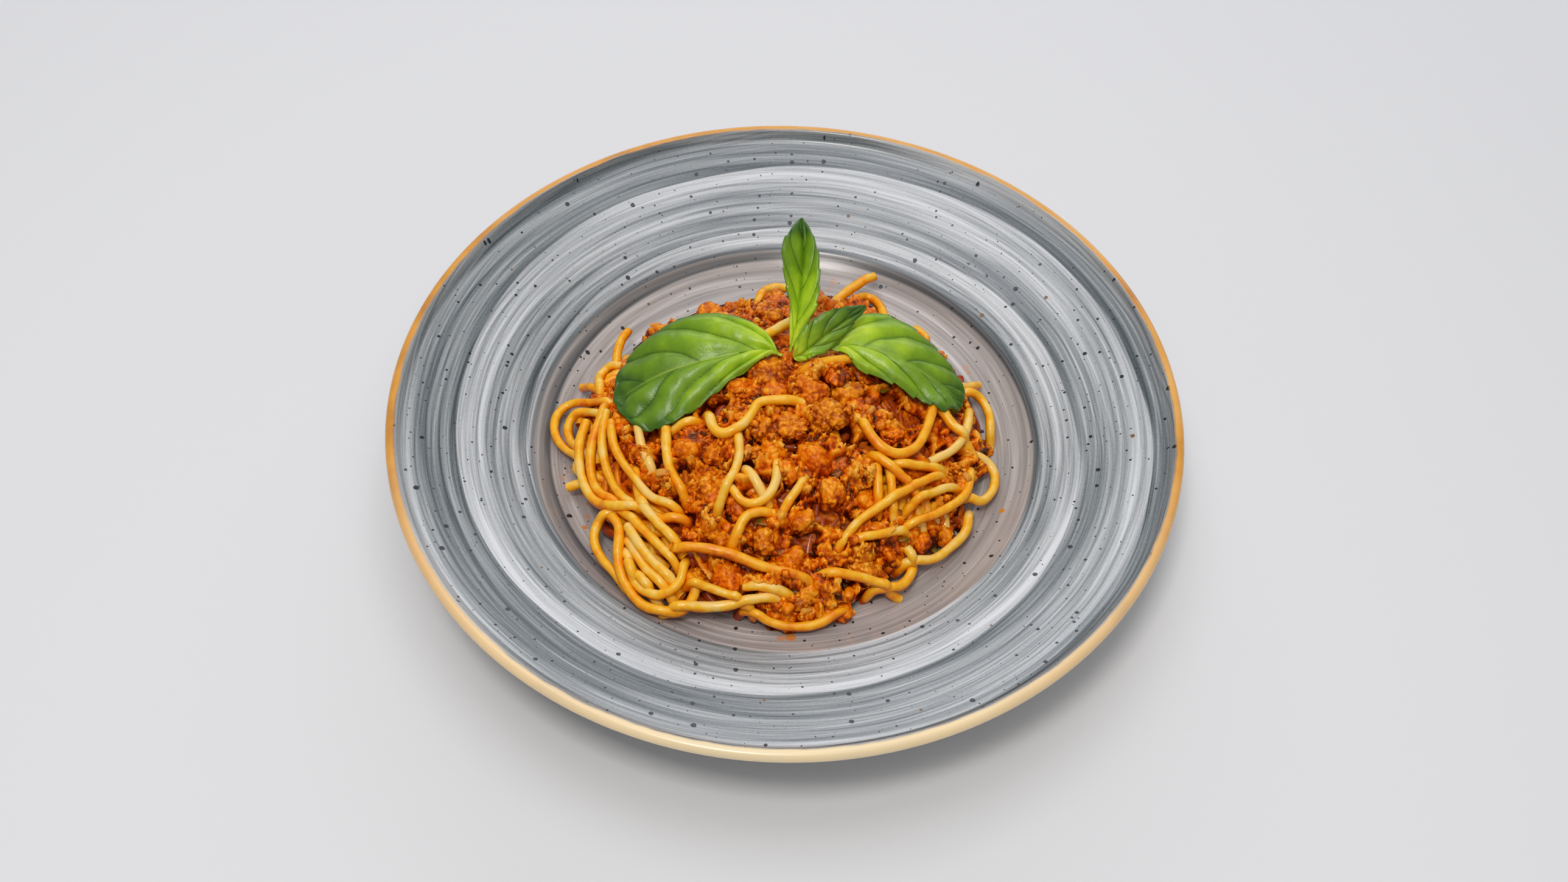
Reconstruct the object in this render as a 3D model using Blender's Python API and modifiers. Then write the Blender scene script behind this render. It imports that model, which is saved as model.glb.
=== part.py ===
"""Spaghetti bolognese in its deep plate.

A turned stoneware plate holds a heap of spaghetti. The meat sauce lies over the heap as one uneven
layer, and four basil leaves stand and lie on the sauce.

Frame: the origin is at the middle of the plate's foot, on the table, +Z up, and -Y is the side where
the guest sits. The sizes below are millimetres, and MM turns them into metres.
"""

import bmesh
import bpy
import numpy as np

MM = 0.001

# Plate
RIM_RADIUS = 135.0  # the widest circle, halfway up the lip
RIM_HEIGHT = 37.4  # height of that circle above the table
LIP_RADIUS = 2.2  # half the thickness of the rounded lip
WELL_RADIUS = 87.6  # where the wide rim breaks into the well
WELL_EDGE = 18.4  # height of that break
WELL_FLOOR = 9.7  # height of the floor inside the well
FLAT_RADIUS = 40.0  # the floor is flat this far out
WELL_POWER = 4.5  # how late the floor turns up into the wall
RIM_SLOPE = 0.419  # rise of the rim for each millimetre outward
WALL_RADII = (58, 67, 73, 78, 82, 85.2)  # circles of the profile where the floor turns up
LIP_START = 129.6  # where the straight rim swells into the lip
LIP_ANGLES = (165, 125, 85, 45, 5, -35, -75)  # round the lip, from its inner side over to its underside
UNDERSIDE = ((128, 32.4), (93, 16.4), (84.5, 11.2), (74, 6.2), (62, 3.7))  # radius and height, inward
FOOT_OUTER = 59.0
FOOT_INNER = 54.4
FOOT_HEIGHT = 3.3  # how deep the middle lies above the table
FOOT_ROUND = 0.6  # height of the foot's worn edges
FOOT_SLOPE = 1.4  # how far the foot's inner side leans in
PLATE_STEPS = 60

# Heap of spaghetti
STRAND = 1.75  # radius of one cooked strand
CLEAR = 0.6  # least gap left between touching pieces, before their facets take some of it
HEAP_CENTRE = (-2.0, 3.0)
HEAP_TOP = 38.5  # height of the heap under the sauce
HEAP_EDGE = 3.8  # the outermost strands lie about one strand high
HEAP_REACH = (75, 74, 69, 65, 61, 68, 76, 76, 84, 78, 74, 75)  # reach every 30 degrees from +X
HEAP_RINGS = (0.22, 0.42, 0.58, 0.71, 0.82, 0.90, 0.96, 1.0)
HEAP_STEPS = 48

# Meat sauce
SAUCE_DEPTH = 4.0
SAUCE_REACH = (70, 70, 69, 65, 60, 58, 57, 60, 61, 56, 43, 42, 62, 69, 75, 74, 72, 66, 70, 72)
SAUCE_RINGS = (0.12, 0.24, 0.36, 0.48, 0.59, 0.70, 0.80, 0.89, 0.96, 1.0)
SAUCE_STEPS = 60
LUMP = 1.5  # height of the clumps of mince
LUMP_WAVES = (2.7, 2.9, 3.6)  # 1/2pi of the clumps' spacing along X, along Y and aslant

# Strands that leave the heap and lie on the plate, each through hand-set points
LOOSE_STRANDS = {
    "left_loop": [(-60, 9, 21), (-69, 8, 19.5), (-77, 8.5, 17.5), (-80.5, 2, 17.2),
                  (-78, -6, 17.2), (-71, -13, 18.5), (-63, -17, 20)],
    "left_bow": [(-54, -36, 20), (-60, -40, 18.5), (-62, -47, 17), (-59, -55, 17), (-53, -61, 18.5),
                 (-46, -63, 18)],
    "front_left_bend": [(-50, -52, 18), (-52, -60, 19), (-49, -67, 19.2), (-43, -73, 19.4),
                        (-36, -74.5, 19.2), (-30, -72, 19), (-27, -66, 18)],
    "front_loop": [(-10, -68, 17), (-7, -73.5, 16.6), (0, -76, 16), (9, -75.5, 15.4),
                   (17, -72, 14.8), (20, -66, 15)],
    "front_right_hook": [(30, -57, 16), (36, -60.5, 14.8), (41, -58, 14.8), (44, -53, 15.5), (40, -46, 17)],
    "right_low_bow": [(41, -47, 16), (50, -49, 15.2), (57, -43, 15), (63, -37, 15), (60, -29, 15)],
    "right_loop": [(61, -23, 16), (68, -26, 15), (73, -20, 15), (74, -13, 15.2), (67, -9, 15)],
    "right_back_bow": [(62, 20, 16), (68, 19.5, 15.6), (72, 15, 15.4), (73, 8, 15.2), (67, 2, 15)],
    "back_end": [(16, 60, 17), (21, 65, 20), (27, 69, 22), (32, 72, 24.5)],
    "back_bow": [(23, 62, 16), (28, 68, 15), (33, 65, 14.6), (35, 57, 14)],
    "left_back_end": [(-60, 22, 18), (-61.5, 30, 20.5), (-60, 36, 22.5), (-57.5, 41, 25)],
    "left_stub": [(-66, -24, 17.5), (-73.5, -25.5, 16.8)],
    "left_back_stub": [(-66, 15, 18), (-73.5, 19.5, 16.6)],
    "right_back_stub": [(62, 21, 18), (69, 26.5, 16)],
}
STRAND_STEP = 3.6  # spacing of the points along a strand

# Basil
LEAF_THICKNESS = 0.8
LEAF_ROWS = 14  # along the midrib
LEAF_COLUMNS = 6  # across
# midrib: hand-set points from the stalk to the tip. across: the way the back half lies, at the stalk
# and at the tip. front, back: half widths at even steps. fold: how far each half lifts, in degrees.
# curl: how much each half bends down towards its margin.
LEAVES = {
    "basil_leaf_left": {
        "midrib": [(-1.6, 12.6, 45.2), (-8, 14.2, 46.6), (-22, 11.2, 46.4), (-40, 7.4, 42.6),
                   (-54, 4.0, 34.5), (-60.5, 3.0, 26.5)],
        "across": [(0, 1, 0.15), (0, 1, 0.1), (-0.05, 1, 0), (-0.1, 1, -0.05)],
        "front": (0.6, 1.5, 5.5, 9, 14, 19, 19, 14, 0.5),
        "back": (0.6, 1.8, 12.5, 19, 22, 21.5, 19, 14.5, 0.5),
        "fold": (-8, 6),
        "curl": (0.22, 0.18),
    },
    "basil_leaf_upright": {
        "midrib": [(0.8, 14.4, 45.4), (2.6, 22.6, 50.3), (3.8, 33, 56.5), (4.4, 45, 62.5), (3.2, 57, 67)],
        "across": [(1, 0, 0), (1, 0, 0)],
        "front": (0.6, 1.6, 3.2, 4.6, 8, 10.4, 11.2, 6.8, 0.5),
        "back": (0.6, 1.4, 5, 8.2, 8.6, 8, 6.3, 3.8, 0.5),
        "fold": (48, 42),
        "curl": (0, 0),
    },
    "basil_leaf_middle": {
        "midrib": [(2.2, 11.4, 45.4), (8, 14.3, 48.2), (16, 20.5, 51.5), (26.5, 29.2, 53)],
        "across": [(-0.45, 0.45, 0.77), (-0.45, 0.45, 0.77)],
        "front": (0.6, 4, 4.8, 5.2, 4.8, 4.2, 3.4, 1.8, 0.5),
        "back": (0.6, 3.6, 6, 7.2, 7.6, 7.2, 5.8, 3.4, 0.5),
        "fold": (10, 10),
        "curl": (0.1, 0.1),
    },
    "basil_leaf_right": {
        "midrib": [(14.5, 16.9, 44.4), (23, 18.4, 45.8), (38, 15.2, 43.4), (51, 11.2, 37), (59, 8.5, 31),
                   (62, 7.5, 26.5)],
        "across": [(0, 1, 0.1), (0.1, 1, 0), (0.2, 1, -0.1), (0.3, 1, -0.2)],
        "front": (0.6, 5, 8.5, 9, 9.3, 10, 10, 6, 0.5),
        "back": (0.6, 8, 16, 17.5, 16, 13.5, 10.5, 6.5, 0.5),
        "fold": (-10, 4),
        "curl": (0.15, 0.12),
    },
}


def through(points, t):
    """A smooth curve through evenly spaced points, read at t from 0 to 1 (Catmull-Rom)."""
    p = np.array(points, float)
    p = p.reshape(len(p), -1)
    p = np.vstack([2 * p[0] - p[1], p, 2 * p[-1] - p[-2]])
    spans = len(p) - 3
    s = np.clip(np.asarray(t, float) * spans, 0, spans - 1e-9)
    i = s.astype(int)
    f = (s - i)[..., None]
    a, b, c, d = p[i], p[i + 1], p[i + 2], p[i + 3]
    bend = (2 * a - 5 * b + 4 * c - d) * f**2 + (3 * b - a - 3 * c + d) * f**3
    return 0.5 * (2 * b + (c - a) * f + bend)


def reach(table, angle):
    """How far an uneven outline reaches at each angle, read smoothly in the middle one of three laps."""
    lap = np.array(table + table + table + table[:1], float)
    turn = (np.asarray(angle) / (2 * np.pi)) % 1.0
    return through(lap, (1 + turn) / 3)[..., 0]


def plate_top(radius):
    """Height of the plate's upper face: flat floor, wall that turns up late, straight rim."""
    r = np.asarray(radius, float)
    s = np.clip((r - FLAT_RADIUS) / (WELL_RADIUS - FLAT_RADIUS), 0, 1)
    well = WELL_FLOOR + (WELL_EDGE - WELL_FLOOR) * s**WELL_POWER
    return np.where(r < WELL_RADIUS, well, WELL_EDGE + (r - WELL_RADIUS) * RIM_SLOPE)


def share_of(table, x, y):
    """0 at the heap's centre, 1 on an outline that the table gives."""
    dx, dy = x - HEAP_CENTRE[0], y - HEAP_CENTRE[1]
    return np.clip(np.hypot(dx, dy) / reach(table, np.arctan2(dy, dx)), 0, 1)


def heap_bottom(x, y):
    rho = share_of(HEAP_REACH, x, y)
    return plate_top(np.hypot(x, y)) + CLEAR + STRAND * rho**24


def heap_top(x, y):
    """A mound: one strand high at its outline, then a dome."""
    rho = share_of(HEAP_REACH, x, y)
    dome = (HEAP_TOP - WELL_FLOOR - CLEAR - HEAP_EDGE) * (1 - rho**2) ** 0.9
    edge = STRAND + (HEAP_EDGE - STRAND) * np.sqrt(1 - rho**12)
    return plate_top(np.hypot(x, y)) + CLEAR + dome + edge


def sauce_bottom(x, y):
    return heap_top(x, y) + CLEAR


def sauce_top(x, y):
    """The sauce thins to nothing at its outline and stands up in clumps of mince."""
    thin = np.sqrt(1 - share_of(SAUCE_REACH, x, y) ** 4)
    wave_x, wave_y, aslant = LUMP_WAVES
    clumps = np.sin(x / wave_x + 0.8) * np.sin(y / wave_y - 0.5) + 0.6 * np.sin((x + 1.4 * y) / aslant)
    return sauce_bottom(x, y) + thin * (SAUCE_DEPTH + LUMP * clumps)


def material(name, colour, roughness):
    """A Principled surface with the piece's own colour."""
    made = bpy.data.materials.new(name)
    made.use_nodes = True
    shader = made.node_tree.nodes["Principled BSDF"]
    shader.inputs["Base Color"].default_value = (*colour, 1.0)
    shader.inputs["Roughness"].default_value = roughness
    made.diffuse_color = (*colour, 1.0)
    return made


def collection(name):
    made = bpy.data.collections.new(name)
    bpy.context.scene.collection.children.link(made)
    return made


def add_mesh(name, verts_mm, faces, edges=()):
    mesh = bpy.data.meshes.new(name)
    mesh.from_pydata((np.asarray(verts_mm, float) * MM).tolist(), edges, faces)
    mesh.update()
    return bpy.data.objects.new(name, mesh)


def finish(obj, into, surface):
    into.objects.link(obj)
    obj.data.materials.clear()
    obj.data.materials.append(surface)
    return obj


def plate_profile():
    """The turned profile, from the middle of the floor out over the lip and back under the foot."""
    face = [(r, float(plate_top(r))) for r in (0, FLAT_RADIUS, *WALL_RADII, WELL_RADIUS, LIP_START)]
    lip_middle = RIM_RADIUS - LIP_RADIUS
    lip = [
        (lip_middle + LIP_RADIUS * np.cos(a), RIM_HEIGHT + LIP_RADIUS * np.sin(a))
        for a in np.radians(LIP_ANGLES)
    ]
    foot = [
        (FOOT_OUTER + 1, FOOT_ROUND),
        (FOOT_OUTER, 0),
        (FOOT_INNER, 0),
        (FOOT_INNER - 1, FOOT_ROUND),
        (FOOT_INNER - 1 - FOOT_SLOPE, FOOT_HEIGHT),
        (0, FOOT_HEIGHT),
    ]
    return face + lip + list(UNDERSIDE) + foot


def make_plate():
    """The plate is turned: its profile is swept once round the Z axis."""
    points = [(r, 0.0, z) for r, z in plate_profile()]
    edges = [(i, i + 1) for i in range(len(points) - 1)]
    plate = add_mesh("deep_plate", points, [], edges)
    turn = plate.modifiers.new("turn", "SCREW")
    turn.axis = "Z"
    turn.angle = 2 * np.pi
    turn.steps = turn.render_steps = PLATE_STEPS
    turn.use_merge_vertices = True
    turn.merge_threshold = 0.00001
    turn.use_smooth_shade = True
    return plate


def mound(name, table, rings, steps, low, high):
    """A closed body between two height functions, on rings that shrink with its outline."""
    angles = np.linspace(0, 2 * np.pi, steps, endpoint=False)
    edge = reach(table, angles)
    share = np.array((0.0,) + rings)[:, None]
    x = HEAP_CENTRE[0] + share * edge * np.cos(angles)
    y = HEAP_CENTRE[1] + share * edge * np.sin(angles)
    built = bmesh.new()
    layers = []
    for height in (high, low):
        z = height(x, y)
        layer = [[built.verts.new((x[0, 0] * MM, y[0, 0] * MM, z[0, 0] * MM))] * steps]
        for i in range(1, len(rings)):
            layer.append([built.verts.new(np.array((x[i, k], y[i, k], z[i, k])) * MM) for k in range(steps)])
        layers.append(layer)
    z = (low(x, y) + high(x, y)) / 2
    rim = [built.verts.new(np.array((x[-1, k], y[-1, k], z[-1, k])) * MM) for k in range(steps)]
    for layer, flip in zip(layers, (False, True)):
        layer.append(rim)
        for inner, outer in zip(layer, layer[1:]):
            for k in range(steps):
                n = (k + 1) % steps
                corners = [inner[k], outer[k], outer[n], inner[n]]
                corners = corners[:3] if inner[k] is inner[n] else corners
                built.faces.new(corners[::-1] if flip else corners)
    mesh = bpy.data.meshes.new(name)
    built.to_mesh(mesh)
    built.free()
    return bpy.data.objects.new(name, mesh)


def make_strand(name, points, into):
    """One loose strand: a round curve through its points, made a closed mesh for the union."""
    length = np.linalg.norm(np.diff(np.array(points, float), axis=0), axis=1).sum()
    path = through(points, np.linspace(0, 1, max(4, round(length / STRAND_STEP)) + 1)) * MM
    curve = bpy.data.curves.new(name, "CURVE")
    curve.dimensions = "3D"
    curve.bevel_depth = STRAND * MM
    curve.bevel_resolution = 1
    curve.use_fill_caps = True
    spline = curve.splines.new("POLY")
    spline.points.add(len(path) - 1)
    spline.points.foreach_set("co", np.c_[path, np.ones(len(path))].ravel())
    tube = bpy.data.objects.new(name + "_curve", curve)
    into.objects.link(tube)
    bpy.context.view_layer.update()
    mesh = bpy.data.meshes.new_from_object(tube.evaluated_get(bpy.context.evaluated_depsgraph_get()))
    welded = bmesh.new()
    welded.from_mesh(mesh)
    bmesh.ops.remove_doubles(welded, verts=welded.verts, dist=0.00001)
    bmesh.ops.recalc_face_normals(welded, faces=welded.faces)
    welded.to_mesh(mesh)
    welded.free()
    solid = bpy.data.objects.new(name, mesh)
    solid.matrix_world = tube.matrix_world
    bpy.data.objects.remove(tube)
    into.objects.link(solid)
    solid.hide_render = True
    solid.display_type = "WIRE"
    return solid


def make_heap(helpers):
    """The heap out to its uneven outline: the mound with its loose strands joined on."""
    heap = mound("spaghetti_heap", HEAP_REACH, HEAP_RINGS, HEAP_STEPS, heap_bottom, heap_top)
    for name, points in LOOSE_STRANDS.items():
        join = heap.modifiers.new(name, "BOOLEAN")
        join.operation = "UNION"
        join.solver = "EXACT"
        join.object = make_strand(name, points, helpers)
    return heap


def leaf_sheet(u, v, midrib, across, front, back, fold, curl):
    """The leaf's underside: u runs along the midrib, v from -1 to 1 across it."""
    step = 0.001
    middle = through(midrib, u)
    along = through(midrib, np.clip(u + step, 0, 1)) - through(midrib, np.clip(u - step, 0, 1))
    along /= np.linalg.norm(along, axis=-1, keepdims=True)
    side = through(across, u)
    side = side - (side * along).sum(-1, keepdims=True) * along
    side /= np.linalg.norm(side, axis=-1, keepdims=True)
    up = np.cross(along, side)
    up *= np.where(up[..., 2:] < 0, -1.0, 1.0)
    width = np.where(v < 0, through(front, u)[..., 0], through(back, u)[..., 0])
    lift = np.radians(np.where(v < 0, fold[0], fold[1]))
    bend = np.where(v < 0, curl[0], curl[1])
    out = width * v * np.cos(lift)
    rise = width * (np.abs(v) * np.sin(lift) - bend * v**2)
    sheet = middle + out[..., None] * side + rise[..., None] * up
    resting = np.maximum(sheet[..., 2], sauce_top(sheet[..., 0], sheet[..., 1]) + CLEAR)
    return np.dstack([sheet[..., :2], resting])


def make_leaf(name, facts):
    """A leaf is a thin sheet given its thickness upwards."""
    u, v = np.meshgrid(np.linspace(0, 1, LEAF_ROWS + 1), np.linspace(-1, 1, LEAF_COLUMNS + 1), indexing="ij")
    sheet = leaf_sheet(u, v, **facts)
    wide = LEAF_COLUMNS + 1
    faces = [
        (i * wide + k, i * wide + k + 1, (i + 1) * wide + k + 1, (i + 1) * wide + k)
        for i in range(LEAF_ROWS)
        for k in range(LEAF_COLUMNS)
    ]
    first = sheet[1, 1] - sheet[0, 1], sheet[0, 2] - sheet[0, 1]
    if np.cross(first[0], first[1])[2] > 0:
        faces = [f[::-1] for f in faces]
    leaf = add_mesh(name, sheet.reshape(-1, 3), faces)
    shell = leaf.modifiers.new("thickness", "SOLIDIFY")
    shell.thickness = LEAF_THICKNESS * MM
    shell.offset = 1.0
    return leaf


def main():
    for old in list(bpy.data.objects):
        bpy.data.objects.remove(old)
    dish = collection("spaghetti_bolognese")
    helpers = collection("strands_joined_to_the_heap")
    glaze = material("grey_blue_stoneware_glaze", (0.36, 0.40, 0.43), 0.25)
    pasta = material("cooked_durum_pasta", (0.86, 0.53, 0.12), 0.35)
    sauce = material("tomato_and_mince_sauce", (0.48, 0.11, 0.02), 0.35)
    basil = material("fresh_basil_leaf", (0.08, 0.25, 0.03), 0.4)
    finish(make_plate(), dish, glaze)
    finish(make_heap(helpers), dish, pasta)
    layer = mound("meat_sauce", SAUCE_REACH, SAUCE_RINGS, SAUCE_STEPS, sauce_bottom, sauce_top)
    finish(layer, dish, sauce)
    for name, facts in LEAVES.items():
        finish(make_leaf(name, facts), dish, basil)


main()
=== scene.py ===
# %% [markdown]
# # Spaghetti bolognese in a deep stoneware plate
# This lesson dresses a plain model of a plated meal. The plain model, the frame, says how big every
# part is and where it sits. Each step looks at one real thing, the plate, the pasta, the sauce, the
# basil, and asks how its surface could be worked out from a few numbers.

# %% Load the frame
import math

import bmesh
import bpy
import numpy as np
from mathutils import Matrix, Vector


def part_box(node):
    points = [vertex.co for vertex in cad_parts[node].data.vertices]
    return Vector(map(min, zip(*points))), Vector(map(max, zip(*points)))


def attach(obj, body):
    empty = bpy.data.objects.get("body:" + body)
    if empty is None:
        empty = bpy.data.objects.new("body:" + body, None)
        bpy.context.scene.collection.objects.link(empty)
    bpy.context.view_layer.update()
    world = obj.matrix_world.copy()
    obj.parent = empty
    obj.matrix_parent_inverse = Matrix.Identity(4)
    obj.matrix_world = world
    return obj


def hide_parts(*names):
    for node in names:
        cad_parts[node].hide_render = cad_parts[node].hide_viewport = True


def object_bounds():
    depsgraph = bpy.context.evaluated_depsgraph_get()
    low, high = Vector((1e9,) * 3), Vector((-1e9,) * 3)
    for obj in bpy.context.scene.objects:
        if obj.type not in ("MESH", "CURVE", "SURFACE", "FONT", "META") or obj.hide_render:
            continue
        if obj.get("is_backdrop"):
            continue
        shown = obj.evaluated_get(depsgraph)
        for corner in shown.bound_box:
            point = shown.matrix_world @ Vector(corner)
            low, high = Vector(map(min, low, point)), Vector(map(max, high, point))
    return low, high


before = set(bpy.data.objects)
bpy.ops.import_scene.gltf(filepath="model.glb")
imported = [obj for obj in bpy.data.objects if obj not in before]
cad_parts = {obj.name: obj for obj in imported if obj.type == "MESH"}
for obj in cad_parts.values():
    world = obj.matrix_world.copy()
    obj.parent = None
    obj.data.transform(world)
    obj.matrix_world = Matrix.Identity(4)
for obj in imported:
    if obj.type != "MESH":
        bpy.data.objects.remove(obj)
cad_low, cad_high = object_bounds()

MM = 0.001
print("frame nodes:", ", ".join(sorted(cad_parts)))
print("frame box in mm:", [round((b - a) / MM, 1) for a, b in zip(cad_low, cad_high)])

# %% [markdown]
# ## The camera
# The guest looks down at the plate from close by, as someone sitting at the table would. The camera is
# a plain pinhole: a place, how far it looks down, and a slight turn of the hand about its own axis.

# %% Camera
CAMERA_PLACE = (-0.25, -346.84, 476.94)  # mm
LOOKS_DOWN = 53.19  # degrees below the horizon
HAND_TURN = 1.867  # degrees about the line of sight
LENS = 37.65  # mm, on a 36 mm sensor

camera = bpy.data.objects.new("camera", bpy.data.cameras.new("camera"))
camera.data.lens = LENS
camera.data.sensor_width = 36.0
camera.data.clip_start = 0.01
tilt = Matrix.Rotation(math.radians(90 - LOOKS_DOWN), 4, "X")
turn = Matrix.Rotation(math.radians(HAND_TURN), 4, "Z")
camera.matrix_world = Matrix.Translation([c * MM for c in CAMERA_PLACE]) @ tilt @ turn
bpy.context.scene.collection.objects.link(camera)
bpy.context.scene.camera = camera
print("camera height above the table: %.0f mm" % CAMERA_PLACE[2])

# %% [markdown]
# ## Curves and noise from arrays
# Food is uneven, and unevenness can be computed: a hash gives every cell of a lattice its own random
# number, and smoothing between the cells gives a soft noise. The distance to the nearest random point
# gives crumbs. Both are worked out for whole arrays at once.


# %% Curves and noise
def through(points, t):
    """Catmull-Rom: a smooth curve through evenly spaced points, read at t from 0 to 1."""
    p = np.array(points, float)
    p = p.reshape(len(p), -1)
    p = np.vstack([2 * p[0] - p[1], p, 2 * p[-1] - p[-2]])
    spans = len(p) - 3
    s = np.clip(np.asarray(t, float) * spans, 0, spans - 1e-9)
    i = s.astype(int)
    f = (s - i)[..., None]
    a, b, c, d = p[i], p[i + 1], p[i + 2], p[i + 3]
    bend = (2 * a - 5 * b + 4 * c - d) * f**2 + (3 * b - a - 3 * c + d) * f**3
    return 0.5 * (2 * b + (c - a) * f + bend)


def around(table, angle):
    """A value all the way round: the table goes once round, read smoothly in the middle of three laps."""
    lap = np.array(tuple(table) * 3 + tuple(table[:1]), float)
    share = (np.asarray(angle) / (2 * np.pi)) % 1.0
    return through(lap, (1 + share) / 3)[..., 0]


def smoothstep(low, high, x):
    """0 below low, 1 above high, with level ends: 3s^2 - 2s^3."""
    s = np.clip((x - low) / (high - low), 0, 1)
    return s * s * (3 - 2 * s)


def cell_random(cells, seed):
    """A number from 0 to 1 for each whole-number cell: its three indices hashed together."""
    n = cells[..., 0] * 73856093 ^ cells[..., 1] * 19349663 ^ cells[..., 2] * 83492791 ^ seed * 7919
    n = (n ^ (n >> 13)) * 1274126177 & 0x7FFFFFFF
    n = (n ^ (n >> 15)) * 668265263 & 0x7FFFFFFF
    return ((n ^ (n >> 16)) & 0xFFFFFF) / 0xFFFFFF


def soft_noise(points, size, seed):
    """Smooth noise from -1 to 1 with features of one size: lattice numbers blended between 8 corners."""
    p = np.asarray(points, float) / size
    base = np.floor(p).astype(np.int64)
    f = p - base
    f = f * f * (3 - 2 * f)
    total = np.zeros(p.shape[:-1])
    for corner in np.ndindex(2, 2, 2):
        share = np.prod(np.where(np.array(corner) == 1, f, 1 - f), axis=-1)
        total += share * cell_random(base + np.array(corner), seed)
    return 2 * total - 1


def crumb_cells(points, size, seed):
    """Distance to the nearest and second nearest random point, in cell sizes, and that cell's number."""
    p = np.asarray(points, float) / size
    base = np.floor(p).astype(np.int64)
    nearest = np.full(p.shape[:-1], 9.0)
    second = np.full(p.shape[:-1], 9.0)
    number = np.zeros(p.shape[:-1])
    for step in np.ndindex(3, 3, 3):
        cell = base + np.array(step) - 1
        seat = cell + np.stack([cell_random(cell, seed + k) for k in (1, 2, 3)], -1)
        away = np.linalg.norm(seat - p, axis=-1)
        closer = away < nearest
        second = np.where(closer, nearest, np.minimum(second, away))
        number = np.where(closer, cell_random(cell, seed + 4), number)
        nearest = np.where(closer, away, nearest)
    return nearest, second, number


def shake(points, size, seed):
    """Three soft noises as one vector: which way and how far each point is shaken, up to 1 each way."""
    return np.stack([soft_noise(points, size, seed + k) for k in range(3)], -1)


def in_plan(x, y):
    """Points at height 0, so that a noise read there changes in plan alone."""
    return np.stack([x, y, np.zeros_like(x)], -1)


def crumb_dome(nearest, second, crease, width=0.3):
    """A low dome on each crumb, 1 - d^2, pinched over a width where two crumbs meet."""
    return np.clip(1 - nearest**2, 0, 1) * (1 - crease + crease * smoothstep(0, width, second - nearest))


sample = soft_noise(np.random.default_rng(1).uniform(0, 50, (2000, 3)), 5.0, 1)
print("noise runs from %.2f to %.2f" % (sample.min(), sample.max()))

# %% [markdown]
# ## Meshes and materials
# A piece is a mesh with its place in its vertices. One function puts arrays into a mesh, hands the
# piece to the frame and says which frame node it stands for. Another adds one shader node with its
# settings and its links. Colours are written as sRGB hex, the way a painter reads them off a swatch,
# and turned to linear light by one formula.


# %% Pieces, colours and nodes
def piece(name, verts_mm, faces, surface, replaces=(), attributes=None):
    """A closed mesh from arrays of corners in mm: smooth, riding on the plate's body."""
    mesh = bpy.data.meshes.new(name)
    mesh.from_pydata(np.asarray(verts_mm, float) * MM, [], faces)
    for key, values in (attributes or {}).items():
        mesh.attributes.new(key, "FLOAT", "POINT").data.foreach_set("value", np.ravel(values))
    mesh.polygons.foreach_set("use_smooth", np.ones(len(mesh.polygons), bool))
    mesh.update()
    made = bpy.data.objects.new(name, mesh)
    bpy.context.scene.collection.objects.link(made)
    made.data.materials.append(surface)
    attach(made, "root")
    for node in replaces:
        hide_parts(node)
    corners = sum(len(f) - 2 for f in faces)
    print("%s: %d corners, %d triangles" % (name, len(mesh.vertices), corners))
    return made


def linear(swatch, alpha=1.0):
    """sRGB hex to linear light: c/12.92 below 0.04045, ((c + 0.055)/1.055)^2.4 above."""
    channels = [int(swatch[i:i + 2], 16) / 255 for i in (1, 3, 5)]
    light = [c / 12.92 if c <= 0.04045 else ((c + 0.055) / 1.055) ** 2.4 for c in channels]
    return (*light, alpha)


def add(tree, kind, links=None, stops=None, **settings):
    """Adds one shader node: settings are its properties, links its inputs by name or number."""
    node = tree.nodes.new("ShaderNode" + kind)
    for key, value in settings.items():
        setattr(node, key, value)
    for key, value in (links or {}).items():
        if isinstance(value, bpy.types.NodeSocket):
            tree.links.new(value, node.inputs[key])
        else:
            node.inputs[key].default_value = value
    if stops:
        ramp = node.color_ramp.elements
        while len(ramp) < len(stops):
            ramp.new(1.0)
        for element, (place, swatch) in zip(ramp, stops):
            element.position = place
            element.color = linear(swatch)
    return node


def surface(name, **values):
    """A new material with its one Principled shader, whose constant sockets are set here."""
    made = bpy.data.materials.new(name)
    made.use_nodes = True
    shader = made.node_tree.nodes["Principled BSDF"]
    for key, value in values.items():
        shader.inputs[key.replace("_", " ")].default_value = value
    return made, made.node_tree, shader


def grid_faces(rows, columns, closed=False):
    """Four-cornered faces of a grid of corners numbered row by row; closed joins the last column on."""
    i, k = np.meshgrid(np.arange(rows - 1), np.arange(columns if closed else columns - 1), indexing="ij")
    n = (k + 1) % columns
    quads = np.stack([i * columns + k, i * columns + n, (i + 1) * columns + n, (i + 1) * columns + k], -1)
    return quads.reshape(-1, 4)


# %% [markdown]
# ## The plate
# A deep plate is turned on a wheel: one profile swept once round. The profile is a flat floor, a wall
# that turns up late, a wide straight rim and a round lip. Sweeping it here as a grid of
# (place along the profile) by (angle) gives a finer mesh than the frame's, with the same sizes.

# %% The plate's sizes
plate_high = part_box("deep_plate")[1]
RIM_RADIUS = plate_high.x / MM  # the widest circle
LIP_RADIUS = 2.2  # half the thickness of the rounded lip
RIM_HEIGHT = plate_high.z / MM - LIP_RADIUS * math.sin(math.radians(85))
WELL_RADIUS, WELL_EDGE = 87.6, 18.4  # where rim and well meet
WELL_FLOOR, FLAT_RADIUS = 9.7, 40.0
WELL_POWER, RIM_SLOPE = 4.5, 0.419
LIP_START = 129.6
FOOT_OUTER, FOOT_INNER, FOOT_HEIGHT = 59.0, 54.4, 3.3
UNDERSIDE = ((128, 32.4), (93, 16.4), (84.5, 11.2), (74, 6.2), (62, 3.7))
print("plate: %.1f mm across, lip centre %.1f mm above the table" % (2 * RIM_RADIUS, RIM_HEIGHT))


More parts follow.
